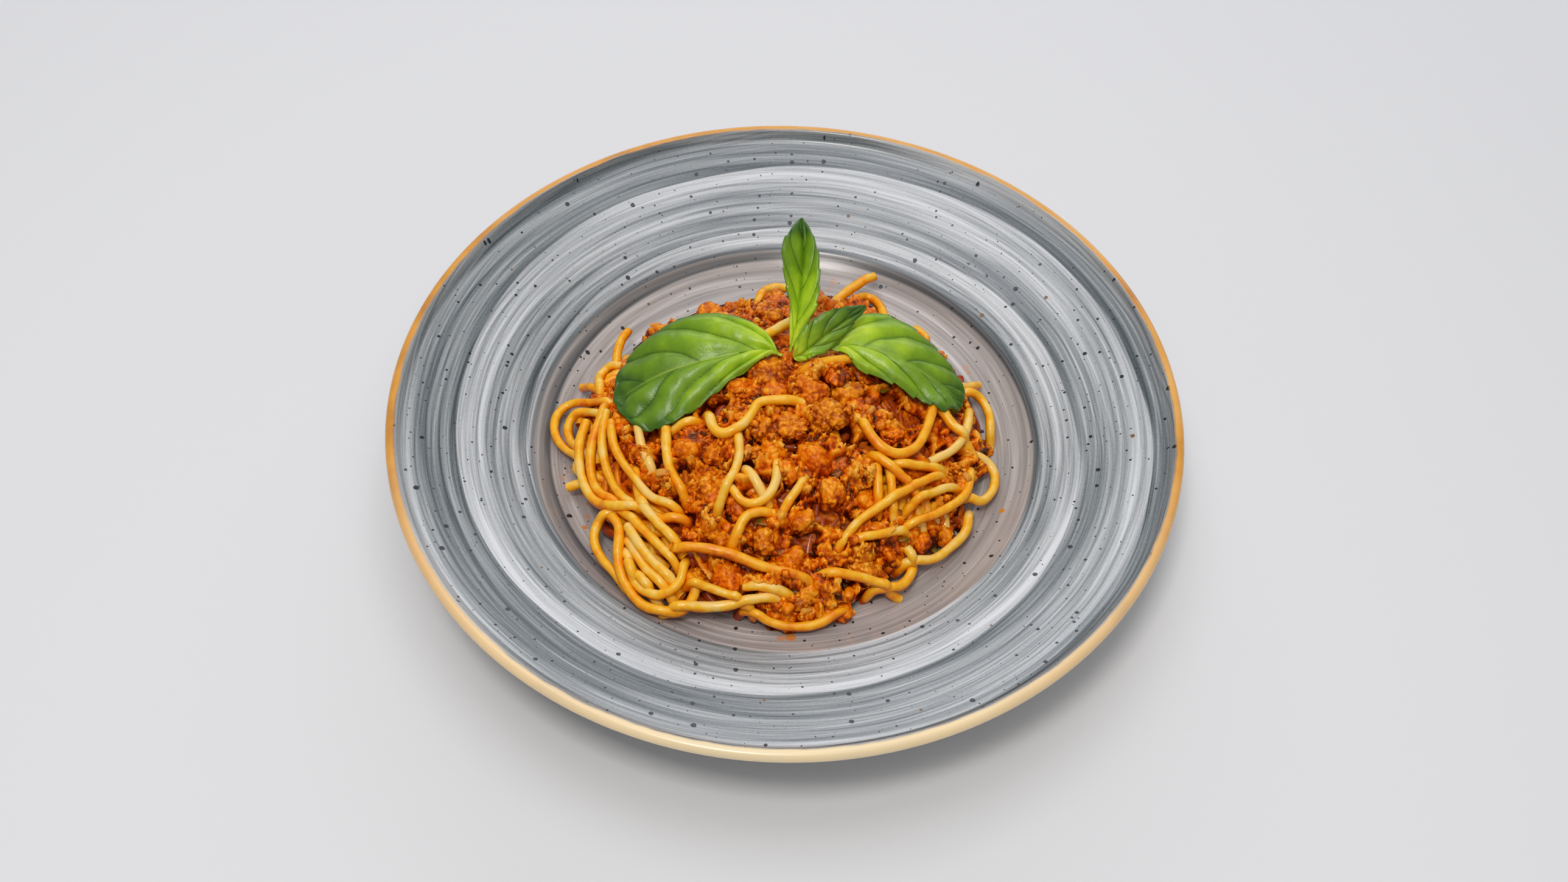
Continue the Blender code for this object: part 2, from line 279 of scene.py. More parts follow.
def plate_top(radius):
    """Height of the upper face: floor + rise * s^4.5 inside the well edge, a straight rim outside.

    Near the edge the lower of the two counts, less a little where they are close: soft glaze.
    """
    r = np.asarray(radius, float)
    s = np.clip((r - FLAT_RADIUS) / (WELL_RADIUS - FLAT_RADIUS), 0, None)
    well = WELL_FLOOR + (WELL_EDGE - WELL_FLOOR) * s**WELL_POWER
    rim = np.where(r < WELL_RADIUS - 8, 99.0, WELL_EDGE + (r - WELL_RADIUS) * RIM_SLOPE)
    soft = 0.25  # mm
    close = np.clip(soft - np.abs(well - rim), 0, None) / soft
    return np.minimum(well, rim) - close**2 * soft / 4


# %% Turn the plate
PLATE_STEPS = 256
face_radii = np.concatenate([np.linspace(0.3, 60, 30), np.linspace(61, 84, 24), np.linspace(84.5, 90, 23),
                             np.linspace(91, LIP_START, 40)])
lip_angles = np.radians(np.linspace(165, -75, 17))
lip_middle = RIM_RADIUS - LIP_RADIUS
face = np.c_[face_radii, plate_top(face_radii)]
lip = np.c_[lip_middle + LIP_RADIUS * np.cos(lip_angles), RIM_HEIGHT + LIP_RADIUS * np.sin(lip_angles)]
under = through(UNDERSIDE, np.linspace(0, 1, 34))
foot = np.array([(FOOT_OUTER + 1, 0.6), (FOOT_OUTER + 0.4, 0.15), (FOOT_OUTER, 0), (FOOT_INNER, 0),
                 (FOOT_INNER - 0.4, 0.15), (FOOT_INNER - 1, 0.6), (FOOT_INNER - 2.4, FOOT_HEIGHT),
                 (0.3, FOOT_HEIGHT)])
profile = np.vstack([face, lip, under, foot])
angles = np.linspace(0, 2 * np.pi, PLATE_STEPS, endpoint=False)
plate_verts = np.stack([profile[:, :1] * np.cos(angles), profile[:, :1] * np.sin(angles),
                        np.broadcast_to(profile[:, 1:], (len(profile), PLATE_STEPS))], -1).reshape(-1, 3)
plate_faces = grid_faces(len(profile), PLATE_STEPS, closed=True)
pole_rows = (np.arange(PLATE_STEPS)[::-1], (len(profile) - 1) * PLATE_STEPS + np.arange(PLATE_STEPS))
plate_faces = [tuple(f[::-1]) for f in plate_faces] + [tuple(p[::-1]) for p in pole_rows]
print("profile of %d points, swept round in %d steps" % (len(profile), PLATE_STEPS))

# %% [markdown]
# ## The glaze
# Stoneware with a brushed glaze: the potter holds a loaded brush to the turning plate and moves it
# slowly inward, so the brush leaves a spiral. Every turn starts with a dark, sharp edge of thick glaze,
# is pale just inside it and streaky further in. Outside the first turn the glaze stays dark. The shader
# works out the distance from the middle and the share of a turn, and from both how far a point lies
# beyond the spiral. Taken modulo one turn that number is the same on both sides of the line where the
# angle starts again, so no seam shows. Noise read on circles makes the bristle marks follow the turns.

# %% How far a point lies beyond the brush's spiral
PITCH = 23.0  # mm that the brush moved inward in one turn
BRUSH_START = 125.0  # mm from the middle, on the plate's right side
BRISTLES = 3.4  # bristle marks: one every PITCH / (2 pi * BRISTLES) mm
glaze, tree, shader = surface("stoneware_brushed_glaze", Roughness=0.24, IOR=1.52)
place = add(tree, "TexCoord").outputs["Object"]
x, y, z = add(tree, "SeparateXYZ", {0: place}).outputs
flat_place = add(tree, "VectorMath", {0: place, 1: (1, 1, 0)}, operation="MULTIPLY").outputs[0]
radius = add(tree, "VectorMath", {0: flat_place}, operation="LENGTH").outputs["Value"]
radius = add(tree, "Math", {0: radius, 1: 1 / MM}, operation="MULTIPLY").outputs[0]
angle = add(tree, "Math", {0: y, 1: x}, operation="ARCTAN2").outputs[0]
lap = add(tree, "Math", {0: angle, 1: 1 / (2 * math.pi)}, operation="MULTIPLY").outputs[0]
lap = add(tree, "Math", {0: lap}, operation="FRACT").outputs[0]
angle_cos = add(tree, "Math", {0: angle}, operation="COSINE").outputs[0]
angle_sin = add(tree, "Math", {0: angle}, operation="SINE").outputs[0]
wobble = add(tree, "TexNoise", {"Vector": place, "Scale": 1 / 0.05, "Detail": 1.0}).outputs["Fac"]
shaken = add(tree, "Math", {0: wobble, 1: 3.4, 2: radius}, operation="MULTIPLY_ADD").outputs[0]
beyond = add(tree, "Math", {0: lap, 1: PITCH, 2: shaken}, operation="MULTIPLY_ADD").outputs[0]
beyond = add(tree, "Math", {0: beyond, 1: BRUSH_START + 1.7}, operation="SUBTRACT").outputs[0]
band = add(tree, "Math", {0: beyond, 1: 1 / PITCH}, operation="MULTIPLY").outputs[0]
band = add(tree, "Math", {0: band}, operation="FRACT").outputs[0]
print("the brush went round %.1f times" % (BRUSH_START / PITCH))

# %% Bristle marks
turned = add(tree, "Math", {0: band, 1: 2 * math.pi}, operation="MULTIPLY").outputs[0]
band_cos = add(tree, "Math", {0: turned}, operation="COSINE").outputs[0]
band_sin = add(tree, "Math", {0: turned}, operation="SINE").outputs[0]
ring = add(tree, "CombineXYZ", {0: band_cos, 1: band_sin, 2: 0.0}).outputs[0]
ring = add(tree, "VectorMath", {0: ring, 1: (BRISTLES,) * 3}, operation="MULTIPLY").outputs[0]
ring = add(tree, "VectorMath", {0: ring, 1: add(tree, "CombineXYZ", {2: angle_cos}).outputs[0]},
           operation="ADD").outputs[0]
bristle = add(tree, "TexNoise", {"Vector": ring, "W": angle_sin, "Scale": 1.5, "Detail": 2.0,
                                 "Roughness": 0.6}, noise_dimensions="4D").outputs["Fac"]
circle = add(tree, "CombineXYZ", {0: radius, 1: angle_cos, 2: angle_sin}).outputs[0]
ringed = add(tree, "VectorMath", {0: circle, 1: (1.0, 1.7, 1.7)}, operation="MULTIPLY").outputs[0]
streak = add(tree, "TexNoise", {"Vector": ringed, "Scale": 0.5, "Detail": 3.0,
                                "Roughness": 0.72}).outputs["Fac"]
wide = add(tree, "VectorMath", {0: circle, 1: (0.16, 1.1, 1.1)}, operation="MULTIPLY").outputs[0]
drift = add(tree, "TexNoise", {"Vector": wide, "Scale": 1.0, "Detail": 1.0}).outputs["Fac"]
grainy = add(tree, "TexNoise", {"Vector": place, "Scale": 1 / 0.0009, "Detail": 1.0}).outputs["Fac"]
print("a bristle mark every %.1f mm" % (PITCH / (2 * math.pi * BRISTLES)))

# %% Tones of the rim
stroke = add(tree, "ValToRGB", {0: band}, stops=[(0.0, "#3c3c3c"), (0.05, "#545454"), (0.13, "#8c8c8c"),
                                                 (0.35, "#969696"), (0.62, "#a8a8a8"), (0.85, "#d2d2d2"),
                                                 (0.985, "#d8d8d8"), (1.0, "#3c3c3c")]).outputs[0]
outer = add(tree, "MapRange", {"Value": beyond, 1: -0.3, 2: 0.6, 3: 0.0, 4: 1.0}).outputs[0]
fading = add(tree, "MapRange", {"Value": lap, 1: 0.68, 2: 0.97, 3: 1.0, 4: 0.0},
             interpolation_type="SMOOTHSTEP").outputs[0]
outer = add(tree, "Math", {0: outer, 1: fading}, operation="MULTIPLY").outputs[0]
outermost = add(tree, "MapRange", {"Value": beyond, 1: PITCH - 0.3, 2: PITCH + 0.6, 3: 0.0,
                                   4: 1.0}).outputs[0]
outer = add(tree, "Math", {0: outer, 1: outermost}, operation="MAXIMUM").outputs[0]
tone = -1.42
for part, weight in ((bristle, 0.9), (streak, 1.6), (drift, 0.75), (grainy, 0.14), (stroke, 0.72),
                     (outer, -0.17)):
    tone = add(tree, "Math", {0: part, 1: weight, 2: tone}, operation="MULTIPLY_ADD").outputs[0]
rim_colour = add(tree, "ValToRGB", {0: tone}, stops=[(0.0, "#4a5154"), (0.2, "#70777a"), (0.45, "#989c9e"),
                                                     (0.7, "#bdc0c2"), (1.0, "#e0e2e4")]).outputs[0]
print("%d nodes make the rim's tones" % len(tree.nodes))

# %% Tones of the well, a dark line where glaze pooled along the spiral, and a dark line round its edge
POOL_RADII = (86.3, 87.2, 87.6, 91.0)  # mm: the pooled line begins, is full, begins to fade, has faded
well_tone = add(tree, "Math", {0: streak, 1: 1.9, 2: -0.42}, operation="MULTIPLY_ADD").outputs[0]
well_colour = add(tree, "ValToRGB", {0: well_tone}, stops=[(0.0, "#86807c"), (0.4, "#a39b96"),
                                                          (0.65, "#b8b0ab"), (1.0, "#e2deda")]).outputs[0]
in_well = add(tree, "MapRange", {"Value": radius, 1: WELL_RADIUS - 0.6, 2: WELL_RADIUS + 0.6, 3: 1.0,
                                 4: 0.0}).outputs[0]
colour = add(tree, "Mix", {"Factor": in_well, 6: rim_colour, 7: well_colour}, data_type="RGBA").outputs[2]
pool_place = add(tree, "Math", {0: lap, 1: 9.0, 2: radius}, operation="MULTIPLY_ADD").outputs[0]
dark_lines = add(tree, "MapRange", {"Value": pool_place, 1: POOL_RADII[0], 2: POOL_RADII[1], 3: 0.0,
                              4: 1.0}).outputs[0]
pool_end = add(tree, "MapRange", {"Value": pool_place, 1: POOL_RADII[2], 2: POOL_RADII[3], 3: 1.0,
                                  4: 0.25}).outputs[0]
turned_off = add(tree, "MapRange", {"Value": lap, 1: 0.60, 2: 0.72, 3: 0.85, 4: 0.0}).outputs[0]
turned_on = add(tree, "MapRange", {"Value": lap, 1: 0.86, 2: 0.98, 3: 0.0, 4: 0.85}).outputs[0]
for share in (pool_end, in_well, turned_off):
    dark_lines = add(tree, "Math", {0: dark_lines, 1: share}, operation="MULTIPLY").outputs[0]
# A dark line round the well's edge, where rim and well meet, over most of the turn.
edge = add(tree, "Math", {0: radius, 1: WELL_RADIUS + 0.3}, operation="SUBTRACT").outputs[0]
edge = add(tree, "Math", {0: edge}, operation="ABSOLUTE").outputs[0]
edge = add(tree, "MapRange", {"Value": edge, 1: 0.4, 2: 1.3, 3: 0.8, 4: 0.0}).outputs[0]
line_share = add(tree, "Math", {0: turned_off, 1: turned_on}, operation="MAXIMUM").outputs[0]
edge = add(tree, "Math", {0: edge, 1: line_share}, operation="MULTIPLY").outputs[0]
dark_lines = add(tree, "Math", {0: dark_lines, 1: edge}, operation="MAXIMUM").outputs[0]
colour = add(tree, "Mix", {"Factor": dark_lines, 6: colour, 7: linear("#33393e")}, data_type="RGBA").outputs[2]
print("%d nodes with the well's" % len(tree.nodes))

# %% [markdown]
# ## Specks and drops
# Iron in the clay burns through the glaze as dark specks. A speck is a round spot in its own cell, and a
# share of the cells stays empty, so they lie scattered. Drops of sauce were splashed on while serving.
# They are spots of colour too, at the places where they fell, because they are too thin to stand up.

# %% Iron specks in three sizes and one paler kind
jitter = add(tree, "TexNoise", {"Vector": flat_place, "Scale": 900.0, "Detail": 1.0}).outputs["Color"]
speck_place = add(tree, "VectorMath", {0: jitter, 1: (0.0005,) * 3, 2: flat_place},
                  operation="MULTIPLY_ADD").outputs[0]
SPECKS = ((12.0, 1.0, 0.40, "#121b22"), (6.2, 0.62, 0.45, "#161f26"), (4.1, 0.36, 0.5, "#1c262d"),
          (24.0, 0.9, 0.55, "#7a5a38"))  # spacing and largest radius in mm, share of empty cells, colour
for spacing, largest, empty, swatch in SPECKS:
    cell = add(tree, "TexVoronoi", {"Vector": speck_place, "Scale": 1 / (spacing * MM)},
               voronoi_dimensions="2D")
    lot = add(tree, "SeparateColor", {0: cell.outputs["Color"]}).outputs[0]
    size = add(tree, "MapRange", {"Value": lot, 1: empty, 2: 1.0, 3: 0.0, 4: largest / spacing}).outputs[0]
    spot = add(tree, "Math", {0: size, 1: cell.outputs["Distance"]}, operation="SUBTRACT").outputs[0]
    spot = add(tree, "MapRange", {"Value": spot, 1: 0.0, 2: 0.12 / spacing, 3: 0.0, 4: 0.95}).outputs[0]
    colour = add(tree, "Mix", {"Factor": spot, 6: colour, 7: linear(swatch)}, data_type="RGBA").outputs[2]
print("%d kinds of specks, up to %.1f mm in radius" % (len(SPECKS), max(s[1] for s in SPECKS)))

# %% Drops of sauce on the glaze
# Place in mm, radius and how much of the glaze a drop hides: fresh drops hide it, wiped ones tint it.
DROPS = (
    (75.5, -26.7, 1.1, 0.95), (66.9, 35.4, 0.9, 0.7), (68.3, 30.8, 0.8, 0.6), (65.9, 37.6, 1.6, 0.3),
    (-73.6, -13.0, 0.9, 0.8), (-74.8, -15.5, 0.8, 0.5), (-76.0, -18.5, 1.6, 0.2),
    (-66.6, -38.5, 1.2, 0.8), (-66.7, -27.8, 0.8, 0.7), (-68.5, -24.1, 1.6, 0.25),
    (-66.4, -33.5, 1.5, 0.35), (16.8, 77.0, 1.6, 0.35), (15.0, 74.2, 1.3, 0.3),
    (4.1, -79.0, 2.2, 0.85), (1.0, -79.6, 1.6, 0.6),
)
splash = 0.0
for drop_x, drop_y, drop_size, hides in DROPS:
    reach = add(tree, "VectorMath", {0: speck_place, 1: (drop_x * MM, drop_y * MM, 0.0)},
                operation="DISTANCE").outputs["Value"]
    drop = add(tree, "MapRange", {"Value": reach, 1: drop_size * MM, 2: 0.7 * drop_size * MM, 3: 0.0,
                                  4: hides}).outputs[0]
    splash = add(tree, "Math", {0: drop, 1: splash}, operation="MAXIMUM").outputs[0]
colour = add(tree, "Mix", {"Factor": splash, 6: colour, 7: linear("#d8820e")}, data_type="RGBA").outputs[2]
print("%d drops on the glaze" % len(DROPS))

# %% [markdown]
# ## The lip and the foot
# The lip is left bare of grey glaze, so the clay fires to a warm tan there, with one burnt smear. On
# the side near the guest the lip is painted pale, a painted highlight. The foot ring is wiped clean,
# or it would stick to the kiln shelf. All of these are colours laid over one another by place.

# %% The tan lip, its burnt smear and the bare foot ring
TAN_START = 132.5  # mm from the middle, where the tan lip begins
SMEAR_LAP = 0.735  # share of a turn at which the burnt smear lies
BARE_FOOT = 0.8  # mm of the foot's height without glaze
WALL_RADII = (70.0, 80.0)  # mm, where the well's wall turns up
GLAZE_ROUGHNESS = (0.24, 0.12)  # the plate's, and that of the wall near the guest
ragged = add(tree, "TexNoise", {"Vector": place, "Scale": 1 / 0.009, "Detail": 2.0}).outputs["Fac"]
lip_edge = add(tree, "Math", {0: ragged, 1: 1.2, 2: radius}, operation="MULTIPLY_ADD").outputs[0]
on_lip = add(tree, "MapRange", {"Value": lip_edge, 1: TAN_START - 0.4, 2: TAN_START + 0.4, 3: 0.0,
                                4: 1.0}).outputs[0]
lip_tone = add(tree, "TexNoise", {"Vector": place, "Scale": 1 / 0.03, "Detail": 4.0}).outputs["Fac"]
lip_colour = add(tree, "ValToRGB", {0: lip_tone}, stops=[(0.25, "#b8742c"), (0.45, "#e6a244"),
                                                        (0.7, "#efb562")]).outputs[0]
smear = add(tree, "Math", {0: lap, 1: SMEAR_LAP}, operation="SUBTRACT").outputs[0]
smear = add(tree, "Math", {0: smear}, operation="ABSOLUTE").outputs[0]
smear = add(tree, "MapRange", {"Value": smear, 1: 0.028, 2: 0.012, 3: 0.0, 4: 1.3}).outputs[0]
smear = add(tree, "Math", {0: smear, 1: lip_tone}, operation="MULTIPLY").outputs[0]
lip_colour = add(tree, "Mix", {"Factor": smear, 6: lip_colour, 7: linear("#8a3f16")},
                 data_type="RGBA").outputs[2]
# Painted highlight: the lip is mixed towards a pale cream on the side near the guest.
painted_lip_highlight = add(tree, "MapRange", {"Value": angle_sin, 1: -0.2, 2: -1.0, 3: 0.0, 4: 0.9}).outputs[0]
lip_colour = add(tree, "Mix", {"Factor": painted_lip_highlight, 6: lip_colour, 7: linear("#ffeabe")},
                 data_type="RGBA").outputs[2]
colour = add(tree, "Mix", {"Factor": on_lip, 6: colour, 7: lip_colour}, data_type="RGBA").outputs[2]
bare = add(tree, "MapRange", {"Value": z, 1: (BARE_FOOT - 0.2) * MM, 2: (BARE_FOOT + 0.2) * MM, 3: 1.0,
                              4: 0.0}).outputs[0]
colour = add(tree, "Mix", {"Factor": bare, 6: colour, 7: linear("#c3b199")}, data_type="RGBA").outputs[2]
wall = add(tree, "MapRange", {"Value": radius, 1: WALL_RADII[0], 2: WALL_RADII[1], 3: 0.0,
                              4: 1.0}).outputs[0]
near_guest = add(tree, "MapRange", {"Value": angle_sin, 1: -0.1, 2: -0.6, 3: 0.0, 4: 1.0}).outputs[0]
for share in (in_well, near_guest):
    wall = add(tree, "Math", {0: wall, 1: share}, operation="MULTIPLY").outputs[0]
rough = add(tree, "MapRange", {"Value": wall, 1: 0.0, 2: 1.0, 3: GLAZE_ROUGHNESS[0],
                               4: GLAZE_ROUGHNESS[1]}).outputs[0]
rough = add(tree, "Mix", {"Factor": bare, 2: rough, 3: 0.8}).outputs[0]
tree.links.new(colour, shader.inputs["Base Color"])
tree.links.new(rough, shader.inputs["Roughness"])
relief = add(tree, "Bump", {"Height": streak, "Strength": 0.08, "Distance": 0.0006}).outputs[0]
tree.links.new(relief, shader.inputs["Normal"])
piece("brushed_stoneware_plate", plate_verts, plate_faces, glaze, ["deep_plate"])

# %% [markdown]
# ## The heap and the strands of spaghetti
# The heap's outline comes from the frame's sizes. Strands that can be told apart are placed one by one,
# each through a few points. All the others are found the way they fall: they start somewhere on the
# mound and wander round it, turning back before the edge. Then every strand is pushed out of its
# neighbours, again and again, until they lie over and under each other as cooked spaghetti does.

# %% The mound
STRAND = 1.75  # radius of a cooked strand, mm
HEAP_CENTRE = np.array((-2.0, 3.0))
HEAP_REACH = (75, 74, 69, 65, 61, 68, 76, 76, 84, 78, 74, 75)
HEAP_TOP = 41.0  # height of the centre lines of the topmost strands, less one radius
HEAP_EDGE = 3.8


def share_of(table, x, y):
    """0 at the heap's middle, 1 on an outline given by a table of reaches."""
    dx, dy = x - HEAP_CENTRE[0], y - HEAP_CENTRE[1]
    return np.hypot(dx, dy) / around(table, np.arctan2(dy, dx))


def bed(x, y):
    """The mound that the outer strands form: plate + edge * sqrt(1 - rho^12) + dome * (1 - rho^2)^0.9."""
    rho = np.clip(share_of(HEAP_REACH, x, y), 0, 1)
    dome = (HEAP_TOP - WELL_FLOOR - HEAP_EDGE - 0.6) * (1 - rho**2) ** 0.9
    return plate_top(np.hypot(x, y)) + 0.6 + HEAP_EDGE * np.sqrt(1 - rho**12) + dome


print("the mound stands %.0f mm high in its middle" % float(bed(*HEAP_CENTRE)))

# %% Strands placed one by one
# Each strand has its points in mm and says how its two ends go: "o" lies open, "b" dives into the heap.
HAND_STRANDS = {
    "left_loop": ("bb", [(-62, 5, 25), (-69, 8, 21.5), (-76, 10, 18), (-80.5, 6, 17), (-81, -1, 16.8),
                         (-77.5, -8, 17), (-71, -14, 19)]),
    "left_loop_inner": ("bb", [(-63, -1, 26), (-69, 3, 22.5), (-74, 3.5, 19.8), (-76, -1, 18.6),
                               (-74, -8, 18.6), (-69, -13, 20.5)]),
    "left_one": ("ob", [(-69, -2, 24), (-70.5, -11, 23), (-69.5, -21, 21.5), (-65.5, -31, 21.5),
                        (-58, -38, 23.5), (-48, -40, 27)]),
    "left_two": ("bb", [(-63, 0, 27), (-66, -12, 25), (-65.5, -23, 22.5), (-62, -31, 22.5),
                        (-56, -35, 24)]),
    "left_three": ("bb", [(-62, -3, 28), (-62.5, -12, 27), (-60, -23, 25), (-55, -33, 25),
                          (-50, -38, 26)]),
    "left_four": ("ob", [(-60, -5, 30), (-58.5, -14, 29.5), (-56, -20, 29), (-52, -26.5, 29),
                         (-48, -32.5, 29.5), (-43, -38, 30.5), (-36.5, -41.5, 32)]),
    "left_five": ("bb", [(-49.5, -27, 29), (-48, -35, 28), (-45.5, -41, 28), (-40, -45, 29),
                         (-35, -45.5, 30.5)]),
    "left_six": ("bb", [(-50, -11, 33), (-48, -19, 32.5), (-45, -25, 32.5)]),
    "left_seven": ("bb", [(-40, -15, 36.5), (-39.2, -23, 35.5), (-37.5, -30, 35), (-34, -36, 35)]),
    "bow": ("bb", [(-56, -39, 23), (-61, -41, 20.5), (-62.5, -47.5, 18.8), (-59, -55, 18.5),
                   (-53, -62, 19)]),
    "big_bend": ("bb", [(-57, -41, 23), (-53.8, -46, 24), (-53.2, -58, 21.5), (-50, -66, 19.8),
                        (-44, -73, 19.8), (-36, -75.2, 19.8), (-30, -73, 20.5), (-27.3, -68.5, 22.8),
                        (-29.5, -64.5, 25)]),
    "inner_bend": ("bb", [(-50, -58.5, 22.5), (-47, -65, 21.5), (-41, -70, 21.5), (-35, -69.5, 22.8),
                          (-32, -66, 24.2), (-31.5, -62, 26)]),
    "front_left_one": ("ob", [(-51, -46, 26), (-46.5, -54, 26), (-41.5, -60, 25.5), (-36, -65, 25)]),
    "front_left_two": ("bb", [(-49, -53, 24.5), (-44.5, -60.5, 24), (-38, -67, 23.8)]),
    "front_left_three": ("bb", [(-51, -55, 22.5), (-47.5, -62, 22), (-42.5, -67.5, 21.5)]),
    "front_left_four": ("bb", [(-52, -41.5, 26), (-46, -48, 27.3), (-40.5, -54, 27.5),
                               (-36, -58.5, 27.5)]),
    "front_left_five": ("bb", [(-46, -41.5, 28.2), (-41, -47, 29), (-35.5, -52.5, 29.3)]),
    "front_one": ("ob", [(-36, -56, 29.3), (-25, -57, 30.5), (-15, -59.2, 29.8), (-5, -62, 28),
                         (6, -63.5, 26)]),
    "front_two": ("bb", [(-33, -74, 20.3), (-19, -73, 21), (-11, -71.5, 22), (-3, -70, 22.8)]),
    "front_three": ("bb", [(-27.5, -67.5, 25), (-20, -69, 24), (-13, -71.2, 22.2)]),
    "front_loop": ("bb", [(-9, -73, 18.5), (-3, -75.8, 16.8), (5, -76.8, 15.8), (13, -75.2, 15.6),
                          (19.5, -71, 16.5)]),
    "front_stub": ("ob", [(-12, -67, 25.8), (-5, -67.5, 25), (0, -68, 23.5)]),
    "front_right_one": ("bb", [(16, -61, 24.5), (23, -61, 23.2), (29, -61, 21), (34, -61.7, 18.5)]),
    "front_right_hook": ("bb", [(33, -62, 18), (38.5, -61, 16.2), (42.5, -57, 16.2),
                                (43.8, -52.3, 18.2), (41.5, -48.5, 21.5)]),
    "low_right_bow": ("bb", [(43, -52, 18.8), (51, -49.5, 16.8), (57.5, -43.5, 16.2), (62, -38, 16.2),
                             (63, -33, 17.5)]),
    "right_one": ("ob", [(23, -50.5, 29.5), (31, -48.3, 28.3), (38, -45.5, 26.8)]),
    "right_two": ("bb", [(44, -41.5, 27), (50, -38.3, 26), (57, -32.5, 24), (62.3, -26, 22.5),
                         (63.8, -18.5, 23)]),
    "right_three": ("bb", [(21.5, -49, 29.3), (26, -44, 31), (33, -38.8, 31.8), (40, -33, 31.8),
                           (46, -28.5, 31), (52, -24, 29.5)]),
    "right_four": ("bb", [(45, -34, 28.7), (50, -30.5, 28), (55.5, -27, 26.5)]),
    "right_five": ("bb", [(31, -22.5, 36.8), (36, -26, 34.8), (42, -30, 32)]),
    "right_bend": ("ob", [(25, -8, 41.5), (28, -15, 40), (33, -20.3, 38.2), (39, -21.2, 36.8),
                          (44.5, -17, 35.8), (48, -9, 35), (50, -1, 34.3), (51.5, 5, 33)]),
    "right_six": ("bb", [(39, -23.7, 35), (44, -23.3, 33.3), (49, -22, 31.8)]),
    "right_seven": ("ob", [(48.5, -20.3, 32.3), (55, -16, 30.5), (60, -9.5, 28.8), (63, -1, 27),
                           (64, 6, 25)]),
    "right_edge": ("bb", [(64, 18.5, 21.5), (69, 18.8, 18.3), (72.2, 13, 17), (72.5, 6.5, 17)]),
    "right_loop": ("bb", [(63, -26, 20), (67.5, -26, 17.2), (71.8, -21, 16.3), (73.2, -14.5, 16.3),
                          (71, -10, 17.5), (66, -8.5, 20)]),
    "right_stub": ("bo", [(61, 20, 21), (65.5, 23, 18.6), (69.5, 27, 17)]),
    "top_bend": ("ob", [(6, -5.3, 44.2), (-2, -6.3, 44.8), (-9, -7.5, 44.8), (-11.5, -12.5, 44.2),
                        (-15, -17, 43.2), (-20, -19.5, 42.3), (-23.8, -17.5, 42.2), (-25.2, -13, 42.5)]),
    "top_two": ("bb", [(-15.5, -20, 42.3), (-14.8, -27, 40.8), (-16.8, -34, 39), (-19.5, -40, 37)]),
    "top_three": ("bb", [(-17.5, -37, 38.5), (-14, -42, 37), (-9, -43.7, 36.8), (-4.5, -40.5, 38),
                         (-2.3, -35, 39.5), (-2.3, -30, 40.3)]),
    "top_four": ("bo", [(-14.5, -52.5, 33), (-12, -47.5, 35.3), (-8, -45.7, 36.3), (-2.5, -45.3, 36.3)]),
    "top_five": ("bb", [(6.5, -33.5, 37.2), (4.5, -37, 36.2), (2, -40.5, 35)]),
    "top_six": ("bb", [(-11.5, -32, 39), (-8, -37, 37.8)]),
    "under_clump_one": ("bb", [(31, -26, 35), (31.5, -35, 32.3)]),
    "under_clump_two": ("bb", [(35.5, -27, 33.8), (36.5, -36, 31)]),
    "left_back_end": ("bo", [(-60, 22, 19), (-61.5, 30, 20.8), (-60.3, 36, 22.6), (-57.8, 41, 25)]),
    "left_back_stub": ("bo", [(-64, 13, 21), (-69, 16.5, 18.6), (-73.5, 20, 17)]),
    "left_back_loop": ("bb", [(-66, 15, 22.5), (-67, 20.5, 20), (-64.5, 25.5, 19), (-60.5, 25, 20.5)]),
    "left_stub": ("bo", [(-65, -24, 19.5), (-73.8, -25.6, 17)]),
    "back_end": ("bo", [(16, 60, 18.5), (21, 65, 20.3), (27, 69, 22.3), (32, 72, 24.5)]),
    "back_bow": ("bb", [(23, 62, 18), (28.5, 67.5, 16), (33.5, 64, 15.8), (35.5, 57, 16.5)]),
    "back_bend": ("bo", [(-11, 61, 21), (-9, 66.5, 18.5), (-5, 68.8, 18), (-1, 69.5, 19)]),
    "top_back": ("bb", [(-9.5, 20.5, 44.3), (-4, 26, 43.5), (1.5, 31, 42.3)]),
    "top_right": ("bb", [(8, 9, 45), (16, 12, 44.3), (26, 15.3, 42.3), (34, 17, 39.5)]),
    "right_inner": ("bb", [(53, 3, 32), (57, -3, 30.5), (60.5, -6, 29)]),
    "top_left": ("bb", [(-35, -12.5, 37.6), (-31.5, -11.5, 38.6)]),
}
HAND_STEP = 1.8  # mm between the points of a strand while the strands are pushed apart
DIVE = (6.0, 5.5)  # mm that a buried end goes on and down


def with_dives(ends, points):
    """A buried end goes on in its direction while it sinks, so the heap swallows it."""
    p = [np.array(q, float) for q in points]
    first = (p[0] - p[1]) * (1, 1, 0)
    last = (p[-1] - p[-2]) * (1, 1, 0)
    if ends[0] == "b":
        p.insert(0, p[0] + first / np.linalg.norm(first) * DIVE[0] - (0, 0, DIVE[1]))
    if ends[1] == "b":
        p.append(p[-1] + last / np.linalg.norm(last) * DIVE[0] - (0, 0, DIVE[1]))
    return np.array(p)


def evenly(points, step):
    """The same curve with its points a fixed step apart: read at even shares of its length."""
    fine = through(points, np.linspace(0, 1, 24 * len(points)))
    length = np.r_[0, np.cumsum(np.linalg.norm(np.diff(fine, axis=0), axis=1))]
    even = np.linspace(0, length[-1], max(4, int(round(length[-1] / step)) + 1))
    return np.stack([np.interp(even, length, fine[:, k]) for k in range(3)], -1)


hand = [evenly(with_dives(ends, points), HAND_STEP) for ends, points in HAND_STRANDS.values()]
print("%d strands placed by hand, %.1f m long in all" % (len(hand), sum(map(len, hand)) * HAND_STEP * MM))

